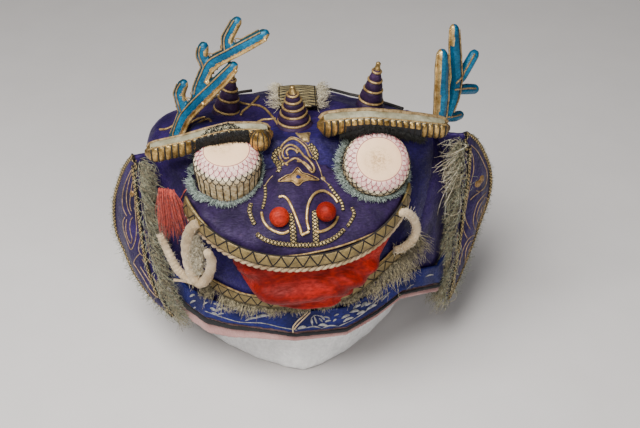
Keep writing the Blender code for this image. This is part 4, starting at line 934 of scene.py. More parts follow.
def make_brow(side):
    """Padded bar: flat pale top edged with cord, its front wound with gold."""
    low, high = BROWS[side][0][0], BROWS[side][-1][0]
    ribs = int((high - low) / 3.4)
    steps, around = ribs * 8, 28

    def surface(x, turn, end, swell=1.0, out=0.0):
        y, z, half_height, half_depth = brow_at(side, x)
        across, up = math.cos(turn), math.sin(turn)
        depth = half_depth * (0.75 if across > 0 else 1.05) + out
        across = math.copysign(abs(across) ** 0.7, across) * depth * end * swell
        up = math.copysign(abs(up) ** 0.75, up) * (half_height + out) * end * swell
        foot = 4.0 * max(0.0, -math.sin(turn)) * max(0.0, math.cos(turn))
        return Vector((x, y + across - up * 0.25 + foot * 0.3, z + up + across * 0.2 - foot))

    def end_of(i):
        return min(1.0, 0.35 + 15.0 * min(i, steps - i) / steps)

    verts = []
    for i in range(steps + 1):
        x = low + (high - low) * i / steps
        wave = abs(math.sin(math.pi * i / 8))
        for turn in turns(around):
            front = min(1.0, max(0.0, -math.cos(turn - 0.25)) * 2.5)
            verts.append(surface(x, turn, end_of(i), 1.0 + 0.12 * wave * front))
    mesh = mesh_of("brow_" + side, verts, tube_faces(steps + 1, around, capped=True))
    piece_of("brow_bar_" + side, mesh, "rib_gold", ["brow_" + side])
    mesh.materials.append(LOOKS["brow_top"])
    mesh.materials.append(LOOKS["black"])
    pale_top, black_ground = 1, 2
    fur_low, fur_high = BROW_FUR[side]
    for face in mesh.polygons:
        furred = fur_low < face.center.x / MM < fur_high and face.normal.y < 0.3
        if furred and face.normal.z < (0.6 if side == "left" else -0.15):
            face.material_index = black_ground
        elif face.normal.z > 0.80 or face.normal.y > 0.2:
            face.material_index = pale_top

    def along(degrees):
        line = []
        for i in range(2, 89):
            share = i / 90
            x = low + (high - low) * share
            line.append(surface(x, math.radians(degrees), end_of(share * steps), out=0.30))
        return line

    threads_piece("brow_cords_" + side, [along(WOUND_TOP)], 0.45, "pale_gold")
    threads_piece("brow_edge_" + side, [along(48)], 0.75 if side == "left" else 1.3, "brown_gold")
    arcs = []
    for i in range(1, ribs):
        x = low + (high - low) * i / ribs
        degrees = [WOUND_TOP + WOUND_SWEEP * j / 11 for j in range(12)]
        arcs.append([surface(x, math.radians(turn), end_of(i * 8), out=0.12) for turn in degrees])
    threads_piece("brow_threads_" + side, arcs, 0.46, "net", 5)
    make_brow_fur(side, surface)
    if side == "left":
        make_brow_knob()


def make_brow_fur(side, surface):
    """Short black fur glued over the wound front, thickest in its middle."""
    low, high = BROW_FUR[side]
    chance = np.random.default_rng(33)
    hairs = Tubes()
    for _ in range(2700):
        share = chance.uniform(-0.07, 1.05)
        x = low + (high - low) * share
        rise = math.sin(math.pi * min(max(share, 0.0), 1.0))
        top = 128 - 66 * rise if side == "left" else 215 - 45 * rise
        turn = math.radians(chance.uniform(top, 262))
        start = surface(x, turn, 1.0)
        away = (start - Vector((x, *brow_at(side, x)[:2]))).normalized()
        lean = Vector(chance.normal(0, 0.45, 3))
        reach = chance.uniform(0.5, 1.4) if side == "left" else chance.uniform(0.9, 2.8)
        middle = start + (away + lean * 0.4) * reach * 0.5
        hairs.add([start, middle, start + (away * 0.7 + lean + Vector((0.2, 0, -0.6))) * reach], 0.15, 3)
    hairs.piece("brow_fur_" + side, "black_fluff")


def make_brow_knob():
    """Round wound end of the left brow, nearest the middle of the face."""
    middle, radius, height = Vector((-22.8, -53.0, 148.4)), 5.2, 5.8

    def place(turn, rise, size):
        size *= math.sin(rise) ** 0.6
        return middle + Vector((size * math.cos(turn), size * math.sin(turn) * 0.7,
                                -height * math.cos(rise)))

    verts, rows, around = [], 16, 40
    for i in range(rows + 1):
        for turn in turns(around):
            verts.append(place(turn, math.pi * i / rows, radius * (1.0 + 0.05 * abs(math.sin(turn * 5)))))
    piece_of("brow_knob_left", mesh_of("brow_knob", verts, tube_faces(rows + 1, around)), "rib_gold")
    arcs = []
    for k in range(10):
        arcs.append([place(math.pi * k / 5, math.pi * (0.08 + 0.84 * j / 8), radius * 1.02)
                     for j in range(9)])
    threads_piece("brow_knob_threads", arcs, 0.3, "net", 5)


# Horns and antlers. A horn's row is its foot, tip, radius and number of cords.

HORN_PLACES = {
    "center": ((-2.5, -29.0, 136.0), (-3.4, -28.0, 165.0), 11.5, 5),
    "left": ((-39.2, -10.5, 133.0), (-33.4, -7.0, 164.5), 9.5, 4),
    "right": ((40.8, -6.5, 131.0), (46.4, -4.5, 162.8), 8.9, 4),
}


def make_horn(side):
    """Satin cone wound with gold cord, which pinches it into rolls."""
    foot, tip, radius, rings = HORN_PLACES[side]
    foot, tip = Vector(foot), Vector(tip)
    axis = (tip - foot).normalized()
    length = (tip - foot).length
    turn_to = Vector((0, 0, 1)).rotation_difference(axis)
    start, stop = 0.30, 0.83
    marks = [start + (stop - start) * (k / (rings - 1)) ** 0.9 for k in range(rings)]

    def width(share):
        base = radius * (1.02 - share) ** 0.82 * 1.02
        pinch = min(abs(share - m) for m in marks)
        return base * (1.0 - 0.10 * math.exp(-(pinch / 0.035) ** 2)) if share < 0.88 else max(1.35, base)

    rows, around, verts = 64, 40, []
    for i in range(rows + 1):
        share = i / rows
        for turn in turns(around):
            size = width(share) if share < 1 else 0.6
            size *= 1.0 + 0.03 * math.sin(turn * 3 + share * 14)
            verts.append(foot + turn_to @ ring_place(size, turn, share * length))
    mesh = mesh_of("horn_" + side, verts, tube_faces(rows + 1, around, capped=True))
    piece_of("horn_cone_" + side, mesh, "horn", ["horn_" + side])
    mesh.materials.append(LOOKS["gold"])
    for face in mesh.polygons:
        if (Vector(face.center) / MM - foot).dot(axis) > 0.865 * length:
            face.material_index = 1
    loops = []
    for mark in marks:
        size, loop = width(mark) + 0.25, []
        for turn in turns(44):
            loop.append(foot + turn_to @ ring_place(size, turn, (mark + 0.012 * math.sin(turn)) * length))
        loops.append(loop)
    threads_piece("horn_cords_" + side, loops, 0.72, "pale_gold", closed=True)


# Branches. Left rows run inward and up from the foot, right rows are x, y and z from it.
# The last number of a row is the radius.
ANTLER_LEFT_FOOT = Vector((-65.8, -25.0, 137.5))
ANTLER_LEFT = {
    "stem": [(0, -2.5, 3.6), (0.8, 0.9, 3.8), (6.2, 12.2, 4.1), (14.1, 21.2, 4.1), (29.2, 37.0, 3.7),
             (35.2, 43.8, 3.0)],
    "main": [(13.5, 23, 2.8), (14.8, 27.8, 3.2), (18.0, 34.8, 3.5), (21.4, 41.4, 3.5), (26.2, 45.9, 3.4),
             (42.3, 56.2, 3.3), (53.2, 63.4, 3.1)],
    "upper": [(32.6, 50, 2.8), (33.0, 58.0, 3.3), (38.6, 68.0, 2.9)],
    "middle": [(20.4, 40.5, 2.8), (18.3, 47.0, 3.3), (19.2, 51.8, 3.0)],
    "lower": [(5.6, 13.5, 2.8), (3.8, 23.6, 3.4), (6.4, 29.6, 3.0)],
}
ANTLER_RIGHT_FOOT = Vector((77.3, -25.0, 137.5))
ANTLER_RIGHT = {
    "stem": [(-0.1, 0, -3, 4.0), (0.1, 0, 13.3, 4.2), (-0.5, 0, 30, 4.0), (-0.8, 0, 39.5, 3.2)],
    "trunk": [(5.2, 4, 0, 3.4), (8.4, 7, 8.6, 3.6), (9.6, 8.5, 21, 3.6), (7.6, 8, 38, 3.4),
              (6.4, 7, 50.5, 2.8)],
    "upper": [(9.4, 8.5, 15.5, 2.8), (13.5, 11, 18.8, 3.1), (21, 16, 29.4, 3.1)],
    "lower": [(8.6, 7.4, 12.4, 2.8), (17.6, 13, 9.3, 3.3), (22.8, 16.4, 6.9, 3.1)],
    "spur": [(4, 3.5, -2.4, 2.6), (10.6, 9, -5.6, 3.1), (14.6, 12.4, -6.8, 2.8)],
}
CORD_LIFT = 0.35


def antler_left_place(row):
    lean, tilt = math.radians(25), math.radians(12)
    inward = Vector((math.cos(lean), -math.sin(lean), 0))
    upward = Vector((0, math.sin(tilt), math.cos(tilt)))
    return ANTLER_LEFT_FOOT + inward * row[0] + upward * row[1]


def antler_right_place(row):
    return ANTLER_RIGHT_FOOT + Vector(row[:3])


def edge_cord(tubes, tree, branch, sideways, radius):
    """Cord along one edge of a padded branch."""
    centre = eased([point for point, _ in branch], 36)
    points = []
    for point, size in zip(centre, drawn_out([size for _, size in branch], len(centre))):
        probe = point + sideways * (size + 3.0)
        hit, normal, _, _ = tree.ray_cast(probe * MM, -sideways)
        points.append(hit / MM + normal * CORD_LIFT if hit else point + sideways * size)
    tubes.add(eased(points[1:-1], 60), radius, 7)


def paint_antler(skin, side):
    """Material by facing: gold leaf on one edge, darker cloth on the other. The darker cloth is painted
    shade on the faces turned away from the light, and on the left antler also a dark band on the faces
    turned up and left.
    """
    _, right, up, back = camera_axes()
    # faces turned along away get the darker cloth as painted shade; on the left antler the faces turned up
    # and left get it too, as a dark band
    away = Vector((0.30, 0.9, -0.1)) if side == "left" else Vector((0.9, 0.4, -0.1))
    gilt = right * 0.72 - up * 0.69
    dark, leaf = 1, 2
    for face in skin.data.polygons:
        spot, facing = face.center / MM, face.normal
        over = spot.x - ANTLER_RIGHT_FOOT.x
        if side == "right" and facing.x < -0.10 and over < (11.4 if spot.z > 178 else 4.4):
            face.material_index = leaf
        elif side == "left" and facing.dot(gilt) > 0.52 and facing.dot(back) > -0.5:
            face.material_index = leaf
        elif facing.dot(away) > 0.45 or (side == "left" and facing.dot(gilt) < -0.42):
            face.material_index = dark


def make_antlers():
    antlers = (("left", ANTLER_LEFT, antler_left_place), ("right", ANTLER_RIGHT, antler_right_place))
    for side, branches, place in antlers:
        skin = fine_skin("antler_skin_" + side, ["antler_" + side], "turquoise", voxel=0.62, rounds=13,
                         folds=0.12, fold_size=5.0, seed=12.0)
        # second material: darker cloth for painted shade and the left antler's dark band
        skin.data.materials.append(LOOKS["turquoise_painted_shade_and_band"])
        skin.data.materials.append(LOOKS["bright_gold"])
        paint_antler(skin, side)
        tree = tree_of(skin)
        gold, brown = Tubes(), Tubes()
        for name, rows in branches.items():
            branch = [(place(row), row[-1]) for row in rows]
            run = (branch[-1][0] - branch[0][0]).normalized()
            view = Vector((-0.1, -0.82, 0.56))
            right = run.cross(view).normalized()
            if side == "left":
                lower = right if right.z < 0 or right.x > 0 else -right
                if name in ("stem", "main"):
                    edge_cord(gold, tree, branch, (lower + view * 0.5).normalized(), 0.8)
                edge_cord(brown, tree, branch, (-lower * 0.45 + view).normalized(), 0.42)
                edge_cord(brown, tree, branch, (-lower + view * 0.1).normalized(), 0.38)
            else:
                left = -right if right.x > 0 else right
                if name in ("stem", "trunk"):
                    edge_cord(gold, tree, branch, (left + view * 0.9).normalized(), 0.55)
                    edge_cord(brown, tree, branch, (-left + view * 0.3).normalized(), 0.45)
                else:
                    edge_cord(brown, tree, branch, view, 0.5)
        gold.piece("antler_gold_" + side, "bright_gold")
        brown.piece("antler_lines_" + side, "brown_gold")


# Ears. A row of EAR_ROWS is the inner edge and then the outer edge at one height.

EAR_ROWS = {
    "left": [(-87.0, -29.0, 129.0, -89.0, -25.5, 127.0), (-87.3, -29.5, 120.0, -94.0, -18.0, 115.5),
             (-87.2, -30.0, 109.0, -98.0, -13.0, 103.5), (-87.0, -31.0, 97.0, -101.5, -9.5, 91.0),
             (-86.6, -33.0, 84.5, -103.3, -8.0, 78.0), (-85.8, -37.0, 71.5, -103.0, -8.5, 65.0),
             (-84.0, -42.5, 60.0, -99.4, -13.5, 55.0), (-81.0, -47.5, 50.0, -94.6, -23.5, 46.0),
             (-77.5, -51.5, 42.5, -86.6, -37.0, 40.0), (-74.0, -54.0, 37.5, -76.0, -51.0, 36.5)],
    "right": [(90.0, -27.5, 128.0, 92.5, -24.0, 127.0), (91.8, -28.5, 118.5, 100.0, -18.0, 117.5),
              (92.2, -29.5, 108.0, 106.0, -13.5, 106.0), (91.8, -30.5, 96.5, 111.0, -10.5, 93.0),
              (91.0, -31.5, 84.5, 113.0, -9.0, 80.0), (89.6, -34.5, 71.0, 111.4, -10.0, 67.5),
              (87.4, -39.5, 59.0, 106.0, -15.5, 55.0), (85.0, -45.0, 48.5, 98.5, -26.5, 44.0),
              (83.0, -49.0, 39.5, 90.6, -38.5, 36.5), (81.0, -52.0, 32.5, 83.0, -49.8, 32.0)],
}


def ear_edges(side):
    rows = EAR_ROWS[side]
    return [Vector(row[:3]) for row in rows], [Vector(row[3:]) for row in rows]


# Threads and leaves on the ears, in the photograph's pixels
EAR_LINES = {
    "left": (
        ((136.5, 160), (128, 177), (124.3, 187), (122.6, 197), (123.3, 208), (127, 216)),
        ((137.8, 163), (131.5, 174), (128.3, 185.5), (126.6, 197), (128, 208), (131, 215)),
        ((136.5, 172), (132.5, 183), (131, 193), (130, 204), (131.5, 211)),
        ((137, 172), (135, 185), (135, 200), (136, 217), (136.7, 228), (135.8, 239), (133, 247.5),
         (130.3, 248.8), (126.7, 239), (123.9, 230), (123.2, 222), (125, 217)),
        ((126.8, 219.5), (126, 229.5), (128.3, 239), (131, 243.2), (132.3, 239), (130.8, 233), (130, 226),
         (131, 220), (133, 217)),
        ((139, 205), (140.8, 221), (140.8, 235), (138.8, 248), (141, 254.4), (145.6, 256.7), (150.5, 263)),
        ((139.5, 254), (136, 258), (134, 263), (137, 268), (143.3, 278), (149, 288), (157, 297.5)),
        ((142.2, 259), (147.8, 268), (153.3, 277), (158.5, 288), (162.5, 298)),
        ((140.5, 266.7), (146, 275.5), (153.3, 287), (160, 298)),
        ((144.5, 231), (146.5, 240), (149, 250), (152, 260)),
    ),
    "right": (
        ((470.5, 150), (473, 158), (473.5, 170), (471, 181), (469, 190), (467, 200), (465.5, 210)),
        ((468.5, 146), (470, 158), (470, 170), (467.5, 182), (465.5, 194), (464, 206), (462, 218),
         (461, 226)),
        ((471, 145), (477, 151), (482, 160), (486, 169)),
        ((486, 168), (487, 177), (485, 186), (480, 191), (476, 190.5)),
        ((486, 192), (482, 197), (477.5, 203), (474.5, 212), (473, 221), (475, 229), (479, 231), (483, 225),
         (486.5, 214), (488, 203), (485.5, 197), (481.5, 202), (478, 210), (476.5, 218), (479, 223),
         (482.5, 217), (484.5, 208), (482.5, 206), (480.5, 213)),
        ((464, 212), (466, 221), (470, 229)), ((462, 226), (464.5, 233), (467, 238)),
        ((459, 233), (460, 241), (461.5, 248)), ((458, 234), (456.5, 246), (455.5, 258), (456.5, 270)),
        ((478, 236), (473, 235.5), (468, 239.5), (464, 247), (461, 256), (459.5, 265)),
        ((474, 241), (470, 241.5), (466.5, 248), (465, 256), (465.5, 263), (469, 258), (472, 250),
         (471, 246), (468, 251)),
        ((470, 200), (474, 196), (480, 191.5), (484, 188)),
    ),
}
EAR_PATCHES = {
    "left": (((131.5, 190.5), (134.5, 193), (132.5, 197), (129.5, 194)),),
    "right": (((474.5, 187), (475, 182), (479, 180), (480.5, 175.5), (484, 174.5), (484.5, 179), (481, 184),
               (478, 188)),),
}


def temple_root(t):
    return Vector((88.5, -31.0, 124.0 - 24.0 * t))


def temple_reach(t):
    return Vector((-10.5, -6.0, -3.0 - 4.0 * t))


def make_ear(side):
    skin = fine_skin("ear_skin_" + side, ["ear_" + side], "violet", voxel=1.0, rounds=14, folds=0.15,
                     fold_size=9.0, seed=15.0)
    inner, outer = ear_edges(side)
    loop = eased(inner + outer[::-1], 150, closed=True)
    middle = sum(loop, Vector()) / len(loop)
    run = outer[4] - inner[4]
    facing = Vector((-run.y, run.x, 0)).normalized()
    if facing.y > 0:
        facing = -facing
    path, across, widths = [], [], []
    for i, point in enumerate(loop):
        along = (loop[(i + 1) % len(loop)] - loop[i - 1]).normalized()
        inward = facing.cross(along).normalized()
        if inward.dot(middle - point) < 0:
            inward = -inward
        inner_side = i < len(loop) * 0.5
        path.append(point + inward * (1.5 if inner_side else 1.0) + facing * 1.9)
        across.append(inward)
        widths.append(1.75 if inner_side else 1.1)
    strip_piece("ear_braid_" + side, path, across, widths, "ear_braid", ["ear_trim_" + side], crown=0.35,
                thick=0.8, closed=True)
    tree = tree_of(skin)
    couch_seen("ear_couching_" + side, tree, EAR_LINES[side], 0.27, "ear_thread", 0.12)
    patches_seen("ear_leaf_" + side, tree, EAR_PATCHES[side], "flower_gold")

    sign = 1.0 if side == "left" else -1.0
    inner_line, outer_line = polyline(inner), polyline(outer)

    def cheek_root(t):
        return inner_line(0.03 + 0.95 * t) + Vector((sign * 1.2, -0.6, 0))

    def cheek_reach(t):
        return Vector((sign * 7.0, -6.4, -3.4 - 3.0 * t)) * (0.75 + 0.25 * math.sin(math.pi * t))

    fringe("cheek_threads_" + side, cheek_root, cheek_reach, 560, "tan", radius=0.17, curl=0.5, spread=0.3,
           steps=5, seed=41, replaces=["cheek_fringe_" + side])
    fringe("cheek_tufts_" + side, cheek_root, cheek_reach, 420, "green", radius=0.17, curl=0.55,
           spread=0.34, steps=5, seed=47)
    if side == "right":
        fringe("temple_threads", temple_root, temple_reach, 60, "cream_fluff", radius=0.20, curl=0.5,
               spread=0.35, steps=6, seed=48)

    def edge_root(t):
        return outer_line(0.04 + 0.94 * t) + Vector((-sign * 0.5, 0.2, 0))

    def edge_reach(t):
        return Vector((-sign * 3.9, 2.4, -2.0 - 3.0 * t)) * (0.35 + 0.65 * t)

    fringe("ear_threads_" + side, edge_root, edge_reach, 650, "green", radius=0.15, curl=0.3, spread=0.25,
           steps=4, seed=43, replaces=["ear_fringe_" + side])


# Mouth corners, nose and tassel. A row of a tusk is a place and the radius there.

TUSK_LEFT = [(-57.5, -77.5, 116.5, 2.3), (-60.8, -76, 113, 2.6), (-64, -73, 103, 2.7),
             (-64.5, -70.5, 90, 2.7), (-62.8, -70.5, 78.5, 2.7), (-59, -72, 73, 2.7), (-54.5, -75, 79, 2.6),
             (-52, -79, 92, 2.4), (-54, -82, 101, 2.1)]
TUSK_PRONG = [(-78, -62, 99.5, 1.7), (-74, -64.5, 88, 2.0), (-69.5, -67, 78, 2.2), (-62, -71, 73.4, 2.2)]
TUSK_RIGHT = [(46, -79, 115.0, 1.9), (50.5, -79, 114.5, 2.1), (54.8, -76.5, 108.5, 2.2),
              (57.2, -74, 99.0, 2.2), (54.8, -74.5, 92.3, 2.1), (49.5, -78, 91.0, 2.0),
              (45, -81, 92.3, 1.8)]
TUSK_WOOL = (Vector((-60.0, -72.5, 78.5)), Vector((-60.0, -75.0, 108.0)))


def make_tusks():
    for side, lines in (("left", (TUSK_LEFT, TUSK_PRONG)), ("right", (TUSK_RIGHT,))):
        felt, fluff = Tubes(), []
        for rows in lines:
            path = eased([row[:3] for row in rows], 70)
            sizes = drawn_out([row[3] for row in rows], len(path))
            lumps = []
            for i, size in enumerate(sizes):
                lumps.append(size * (1.06 + 0.07 * math.sin(i * 1.3) + 0.04 * math.sin(i * 3.1)))
            last = len(lumps) - 1
            felt.add(path, 1.0, 16, taper=lambda s: lumps[round(s * last)])
            fluff += zip(path, lumps)
        felt.piece("tusk_felt_" + side, "cream", ["tusk_" + side], slot="cream_cord")
        chance = np.random.default_rng(51)
        hairs = Tubes()
        for _ in range(900):
            point, size = fluff[chance.integers(0, len(fluff))]
            away = Vector(chance.normal(0, 1, 3)).normalized()
            start = point + away * size * 0.97
            lean = Vector(chance.normal(0, 1, 3)) * 0.8
            hairs.add([start, start + (away * 0.4 + lean * 0.5) * 0.6, start + (away * 0.3 + lean) * 1.0],
                      0.07, 3)
        if side == "left":
            low, high = TUSK_WOOL
            for _ in range(1500):
                share, across = chance.uniform(0, 1), chance.uniform(-1, 1)
                bulge = across * 4.6 * math.sin(math.pi * (0.15 + 0.75 * share))
                start = low.lerp(high, share) + Vector((bulge, chance.uniform(0, 2.5), 0))
                run = Vector((chance.normal(0, 1.2), -chance.uniform(0.2, 1.4), chance.uniform(-2.2, 2.2)))
                bend = Vector(chance.normal(0, 0.5, 3))
                hairs.add([start, start + run * 0.5 + bend, start + run], 0.13, 3)
        hairs.piece("tusk_fluff_" + side, "cream_fluff")


def make_tassel():
    top = Vector((-72.4, -58.0, 124.5))

    def root(t):
        return top + Vector((-4.0 + 8.0 * t, 1.0 - 3.0 * t, math.sin(t * 37.0) * 1.2))

    def reach(t):
        return Vector((-1.0 + 6.5 * t, -4.5, -23.0))

    fringe("tassel_threads", root, reach, 230, "coral", radius=0.26, curl=0.06, spread=0.05, steps=7,
           seed=61, replaces=["tassel"])


def make_nostrils(face_tree):
    """Thread balls, and the gold loops round them."""
    radius, rows, around = 5.15, 24, 36
    for side in SIDES:
        low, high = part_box("nostril_" + side)
        middle = (Vector(low) + Vector(high)) / 2 / MM
        verts = []
        for i in range(rows + 1):
            rise = math.pi * i / rows
            for turn in turns(around):
                size = radius * (1 + 0.02 * math.sin(turn * 18)) * math.sin(rise)
                verts.append(middle + Vector((size * math.cos(turn), -radius * math.cos(rise),
                                              size * math.sin(turn))))
        mesh = mesh_of("nostril_" + side, verts, tube_faces(rows + 1, around))
        face_outwards(mesh, weld=0.00002)
        piece_of("nostril_ball_" + side, mesh, "bead", ["nostril_" + side])
    for side, lines in NOSTRIL_WIRES.items():
        couch_seen("nostril_loop_" + side, face_tree, lines, 0.78, "bright_gold", 0.5,
                   ["nostril_ring_" + side])


# Lines read off the photograph, in its pixels

NOSTRIL_WIRES = {
    "left": (
        ((279, 197.5), (284, 197), (288.5, 201), (292, 208), (295, 215), (298, 223), (300.5, 230),
         (301.5, 234.5)),
        ((262, 213), (264, 221.5), (269, 228), (276, 232), (283, 233.5), (289, 231)),
    ),
    "right": (
        ((309, 230), (307, 222), (307, 212), (308.5, 204), (312, 197), (317, 192.5), (323, 191.5),
         (329, 194), (334, 198), (337.5, 203)),
        ((337.5, 217), (334, 224), (328, 229), (321, 231.5), (315, 231.5)),
        ((301.5, 235), (305, 233.5), (309, 231.5)),
    ),
}
BROCADE_LINES = {
    "strip_left": (((289, 214), (291.5, 222), (293, 231), (293.5, 243)), 1.7),
    "strip_right": (((315, 211), (315, 220), (315.7, 231), (316, 243)), 1.7),
    "base": (((257, 234), (264, 239), (272, 242), (284, 244), (300, 245), (316, 244.5), (328, 241),
              (337, 236), (344, 229.5)), 1.15),
    "side_left": (((265, 186), (265.5, 194), (264.5, 202), (262.5, 209)), 0.85),
    "side_right": (((329, 185), (333, 191), (338, 197), (342, 204), (343, 211)), 0.85),
    "fold_left": (((251, 204), (249.5, 211), (252, 219), (255, 225)), 1.1),
    "fold_right": (((352, 208), (354, 214), (351, 221), (347, 227)), 0.9),
    "cheek_left": (((281, 148.5), (276, 152.5), (274.5, 158), (278, 163), (284, 164.5)), 1.5),
    "cheek_right": (((309, 145), (313.5, 149), (315.5, 154), (315, 159.5)), 1.6),
    "cheek_low": (((277, 163), (279.5, 168), (278, 172.5)), 1.2),
}
CLOUD_LINES = (
    ((288, 165.5), (282.5, 161.5), (279.5, 155), (281, 147.5), (286, 141.5), (293, 139), (300, 142),
     (306, 148), (309, 155), (311, 158)),
    ((289, 158), (285, 158.5), (282.5, 154), (284.5, 148), (290, 145), (296, 147), (300, 151),
     (303.5, 155.5)),
    ((288, 155.5), (286.5, 151.5), (290, 148.7), (295, 150), (297.5, 153)),
    ((285, 164.8), (290, 161), (295, 158.5), (300, 160.5), (306, 166), (312, 172.5), (314, 168),
     (309, 160.5), (303, 155.5)),
    ((297, 161.5), (303, 162.3), (308, 166), (311.5, 170.5)),
    ((296.5, 148.5), (299, 149.5), (298, 151.5), (296, 150)),
)
CLOUD_THIN = (
    ((284.5, 143.5), (290, 137.8), (298, 138.8), (306, 144), (311, 152), (316, 161), (320, 170), (323, 179),
     (329, 185)),
    ((282, 164.5), (279, 168), (277.5, 172)),
    ((265, 186), (269, 180), (273, 176)),
)
GOLD_PATCHES = (
    ((294, 132.5), (299, 133), (304, 132.5), (311, 132), (310.5, 137), (310, 142.5), (305, 142.5),
     (301, 139.5)),
    ((320.5, 177.5), (324, 176.5), (326, 179.5), (323, 181)),
)
FLOWER_OUTLINE = ((278.5, 181.5), (286, 176), (292, 174), (297.5, 168), (302.5, 173), (309, 175),
                  (318.5, 180), (309, 180.5), (303, 182), (298, 186), (292.5, 182), (286, 181.5))
FLOWER_MIDDLE, FLOWER_CENTRE = (297.8, 178.0), ((295, 177.5), (298, 175.5), (301.5, 178), (298, 179.8))


def make_nose_work(face_tree):
    """Narrow gold and black strips laid on the nose along lines of pixels."""
    view = sight((PHOTO_SIZE[0] / 2, PHOTO_SIZE[1] / 2))[1]
    for name, (line, half_width) in BROCADE_LINES.items():
        path = seen_along(face_tree, line, 40, 0.1)
        across = []
        for i in range(len(path)):
            along = path[min(i + 1, len(path) - 1)] - path[max(i - 1, 0)]
            across.append(along.cross(-view).normalized())
        strip_piece("brocade_" + name, path, across, half_width, "nose_braid", crown=0.35, thick=0.45)


def make_motifs(face_tree):
    """Cloud scroll, gold patches and the pointed flower of the forehead."""
    couch_seen("forehead_cloud", face_tree, CLOUD_LINES, 0.62, "pale_gold")
    couch_seen("forehead_threads", face_tree, CLOUD_THIN, 0.3, "brown_gold")
    patches_seen("forehead_patches", face_tree, GOLD_PATCHES, "brocade_gold")
    patches_seen("forehead_flower", face_tree, (FLOWER_OUTLINE,), "flower_gold", 0.35, FLOWER_MIDDLE)
    patches_seen("flower_centre", face_tree, (FLOWER_CENTRE,), "blue", 0.9)
    rims = []
    for scale in (1.0, 0.72):
        line = [Vector(FLOWER_MIDDLE).lerp(Vector(pixel), scale) for pixel in FLOWER_OUTLINE]
        rims.append(seen_along(face_tree, line, 110, 0.45 + 0.3 * (1 - scale), closed=True))
    threads_piece("flower_threads", rims, 0.3, "pale_gold", 5, closed=True)


class EitherTree:
    """First skin met along a ray, out of several."""

    def __init__(self, *trees):
        self.trees = trees

    def ray_cast(self, start, run):
        hits = [tree.ray_cast(start, run) for tree in self.trees]
        hits = [hit for hit in hits if hit[0] is not None]
        return min(hits, key=lambda hit: hit[3]) if hits else (None, None, None, None)

    def find_nearest(self, place):
        hits = [tree.find_nearest(place) for tree in self.trees]
        return min((hit for hit in hits if hit[0] is not None), key=lambda hit: hit[3])


# Band embroidery, spine and loose wires. A leaf is its two ends and its size.

BAND_LEAVES = (
    ((341.5, 318.5), (350, 315), 1.3), ((343, 322), (353.5, 317.5), 1.2),
    ((349.5, 312.5), (359.5, 311), 1.5), ((353, 308.5), (361, 304.5), 1.4),
    ((356.5, 314.5), (366, 311.5), 1.4), ((361, 307), (367, 302), 1.5), ((366, 310.5), (377, 304.5), 1.3),
    ((365, 306), (371.5, 303), 1.1), ((371.5, 304), (378, 296), 0.6), ((381.5, 301), (388.5, 294.5), 0.6),
    ((375, 300), (381, 293), 0.5), ((325, 322), (331, 320.5), 1.0), ((333, 321.5), (336.5, 319), 0.9),
    ((320, 315.5), (325, 320), 0.8), ((319, 318), (322.5, 322), 0.8), ((334, 316), (339, 314), 0.7),
    ((318, 325.5), (328, 326), 1.4), ((314, 316), (317, 324), 0.8), ((311, 317.5), (313, 324), 0.6),
    ((323, 317), (330, 318.5), 0.7), ((297.5, 329), (306.7, 327.3), 1.6), ((306, 328), (322, 328.5), 0.7),
    ((322, 328.4), (339, 326.5), 0.6), ((210, 308), (216.5, 311.5), 1.3),
    ((216, 311.5), (222.5, 308.5), 1.2), ((211.5, 313), (218, 315), 0.9), ((217.5, 315), (224, 313.5), 0.8),
    ((213.5, 303.5), (220, 306), 1.0), ((221.5, 307.5), (228, 311), 1.1), ((228, 305), (236.5, 306), 1.3),
    ((236, 306), (243.5, 303.5), 1.1), ((233, 309.5), (243, 310.5), 1.2), ((243, 308.5), (250, 311.5), 1.3),
    ((239, 303), (247, 306.5), 1.3), ((228, 302), (234, 300), 0.8), ((245, 321), (257, 318), 1.1),
    ((255, 318.3), (268, 315.7), 1.5), ((267, 316), (273, 313), 0.8), ((250, 316), (256, 314), 0.7),
    ((190, 303.5), (196, 300.5), 1.0), ((190, 297), (195, 294.5), 1.2), ((191, 311), (196, 307), 0.7),
    ((203, 305), (208, 302), 0.7), ((400, 283), (410, 280), 0.5), ((425, 277), (434, 275), 0.7),
    ((405, 291), (414, 284), 0.4),
)
BAND_STEMS = (
    ((205, 311), (222, 317), (240, 322), (262, 323), (280, 327), (297, 330)),
    ((313, 326), (311, 320), (314, 315.5), (320, 316), (324, 319.5)),
    ((339, 326), (352, 320), (366, 311), (378, 300), (390, 292)),
    ((214, 303), (226, 305), (238, 308), (252, 311)),
)


def make_band_work(band_tree):
    """Grey leaves and stems along the front of the rim band."""
    leaves = Tubes()
    for start, end, radius in BAND_LEAVES:
        wide, high = end[0] - start[0], end[1] - start[1]
        line = []
        for t in np.linspace(0, 1, 9):
            line.append((start[0] + wide * t, start[1] + high * t - 0.12 * wide * math.sin(math.pi * t)))
        leaves.add(seen_on(band_tree, line, 0.15), radius * 0.58, 7, flat=0.5,
                   taper=lambda s: 0.15 + math.sin(math.pi * s) ** 0.7)
    leaves.piece("band_leaves", "silver")
    couch_seen("band_stems", band_tree, BAND_STEMS, 0.26, "silver", 0.1)


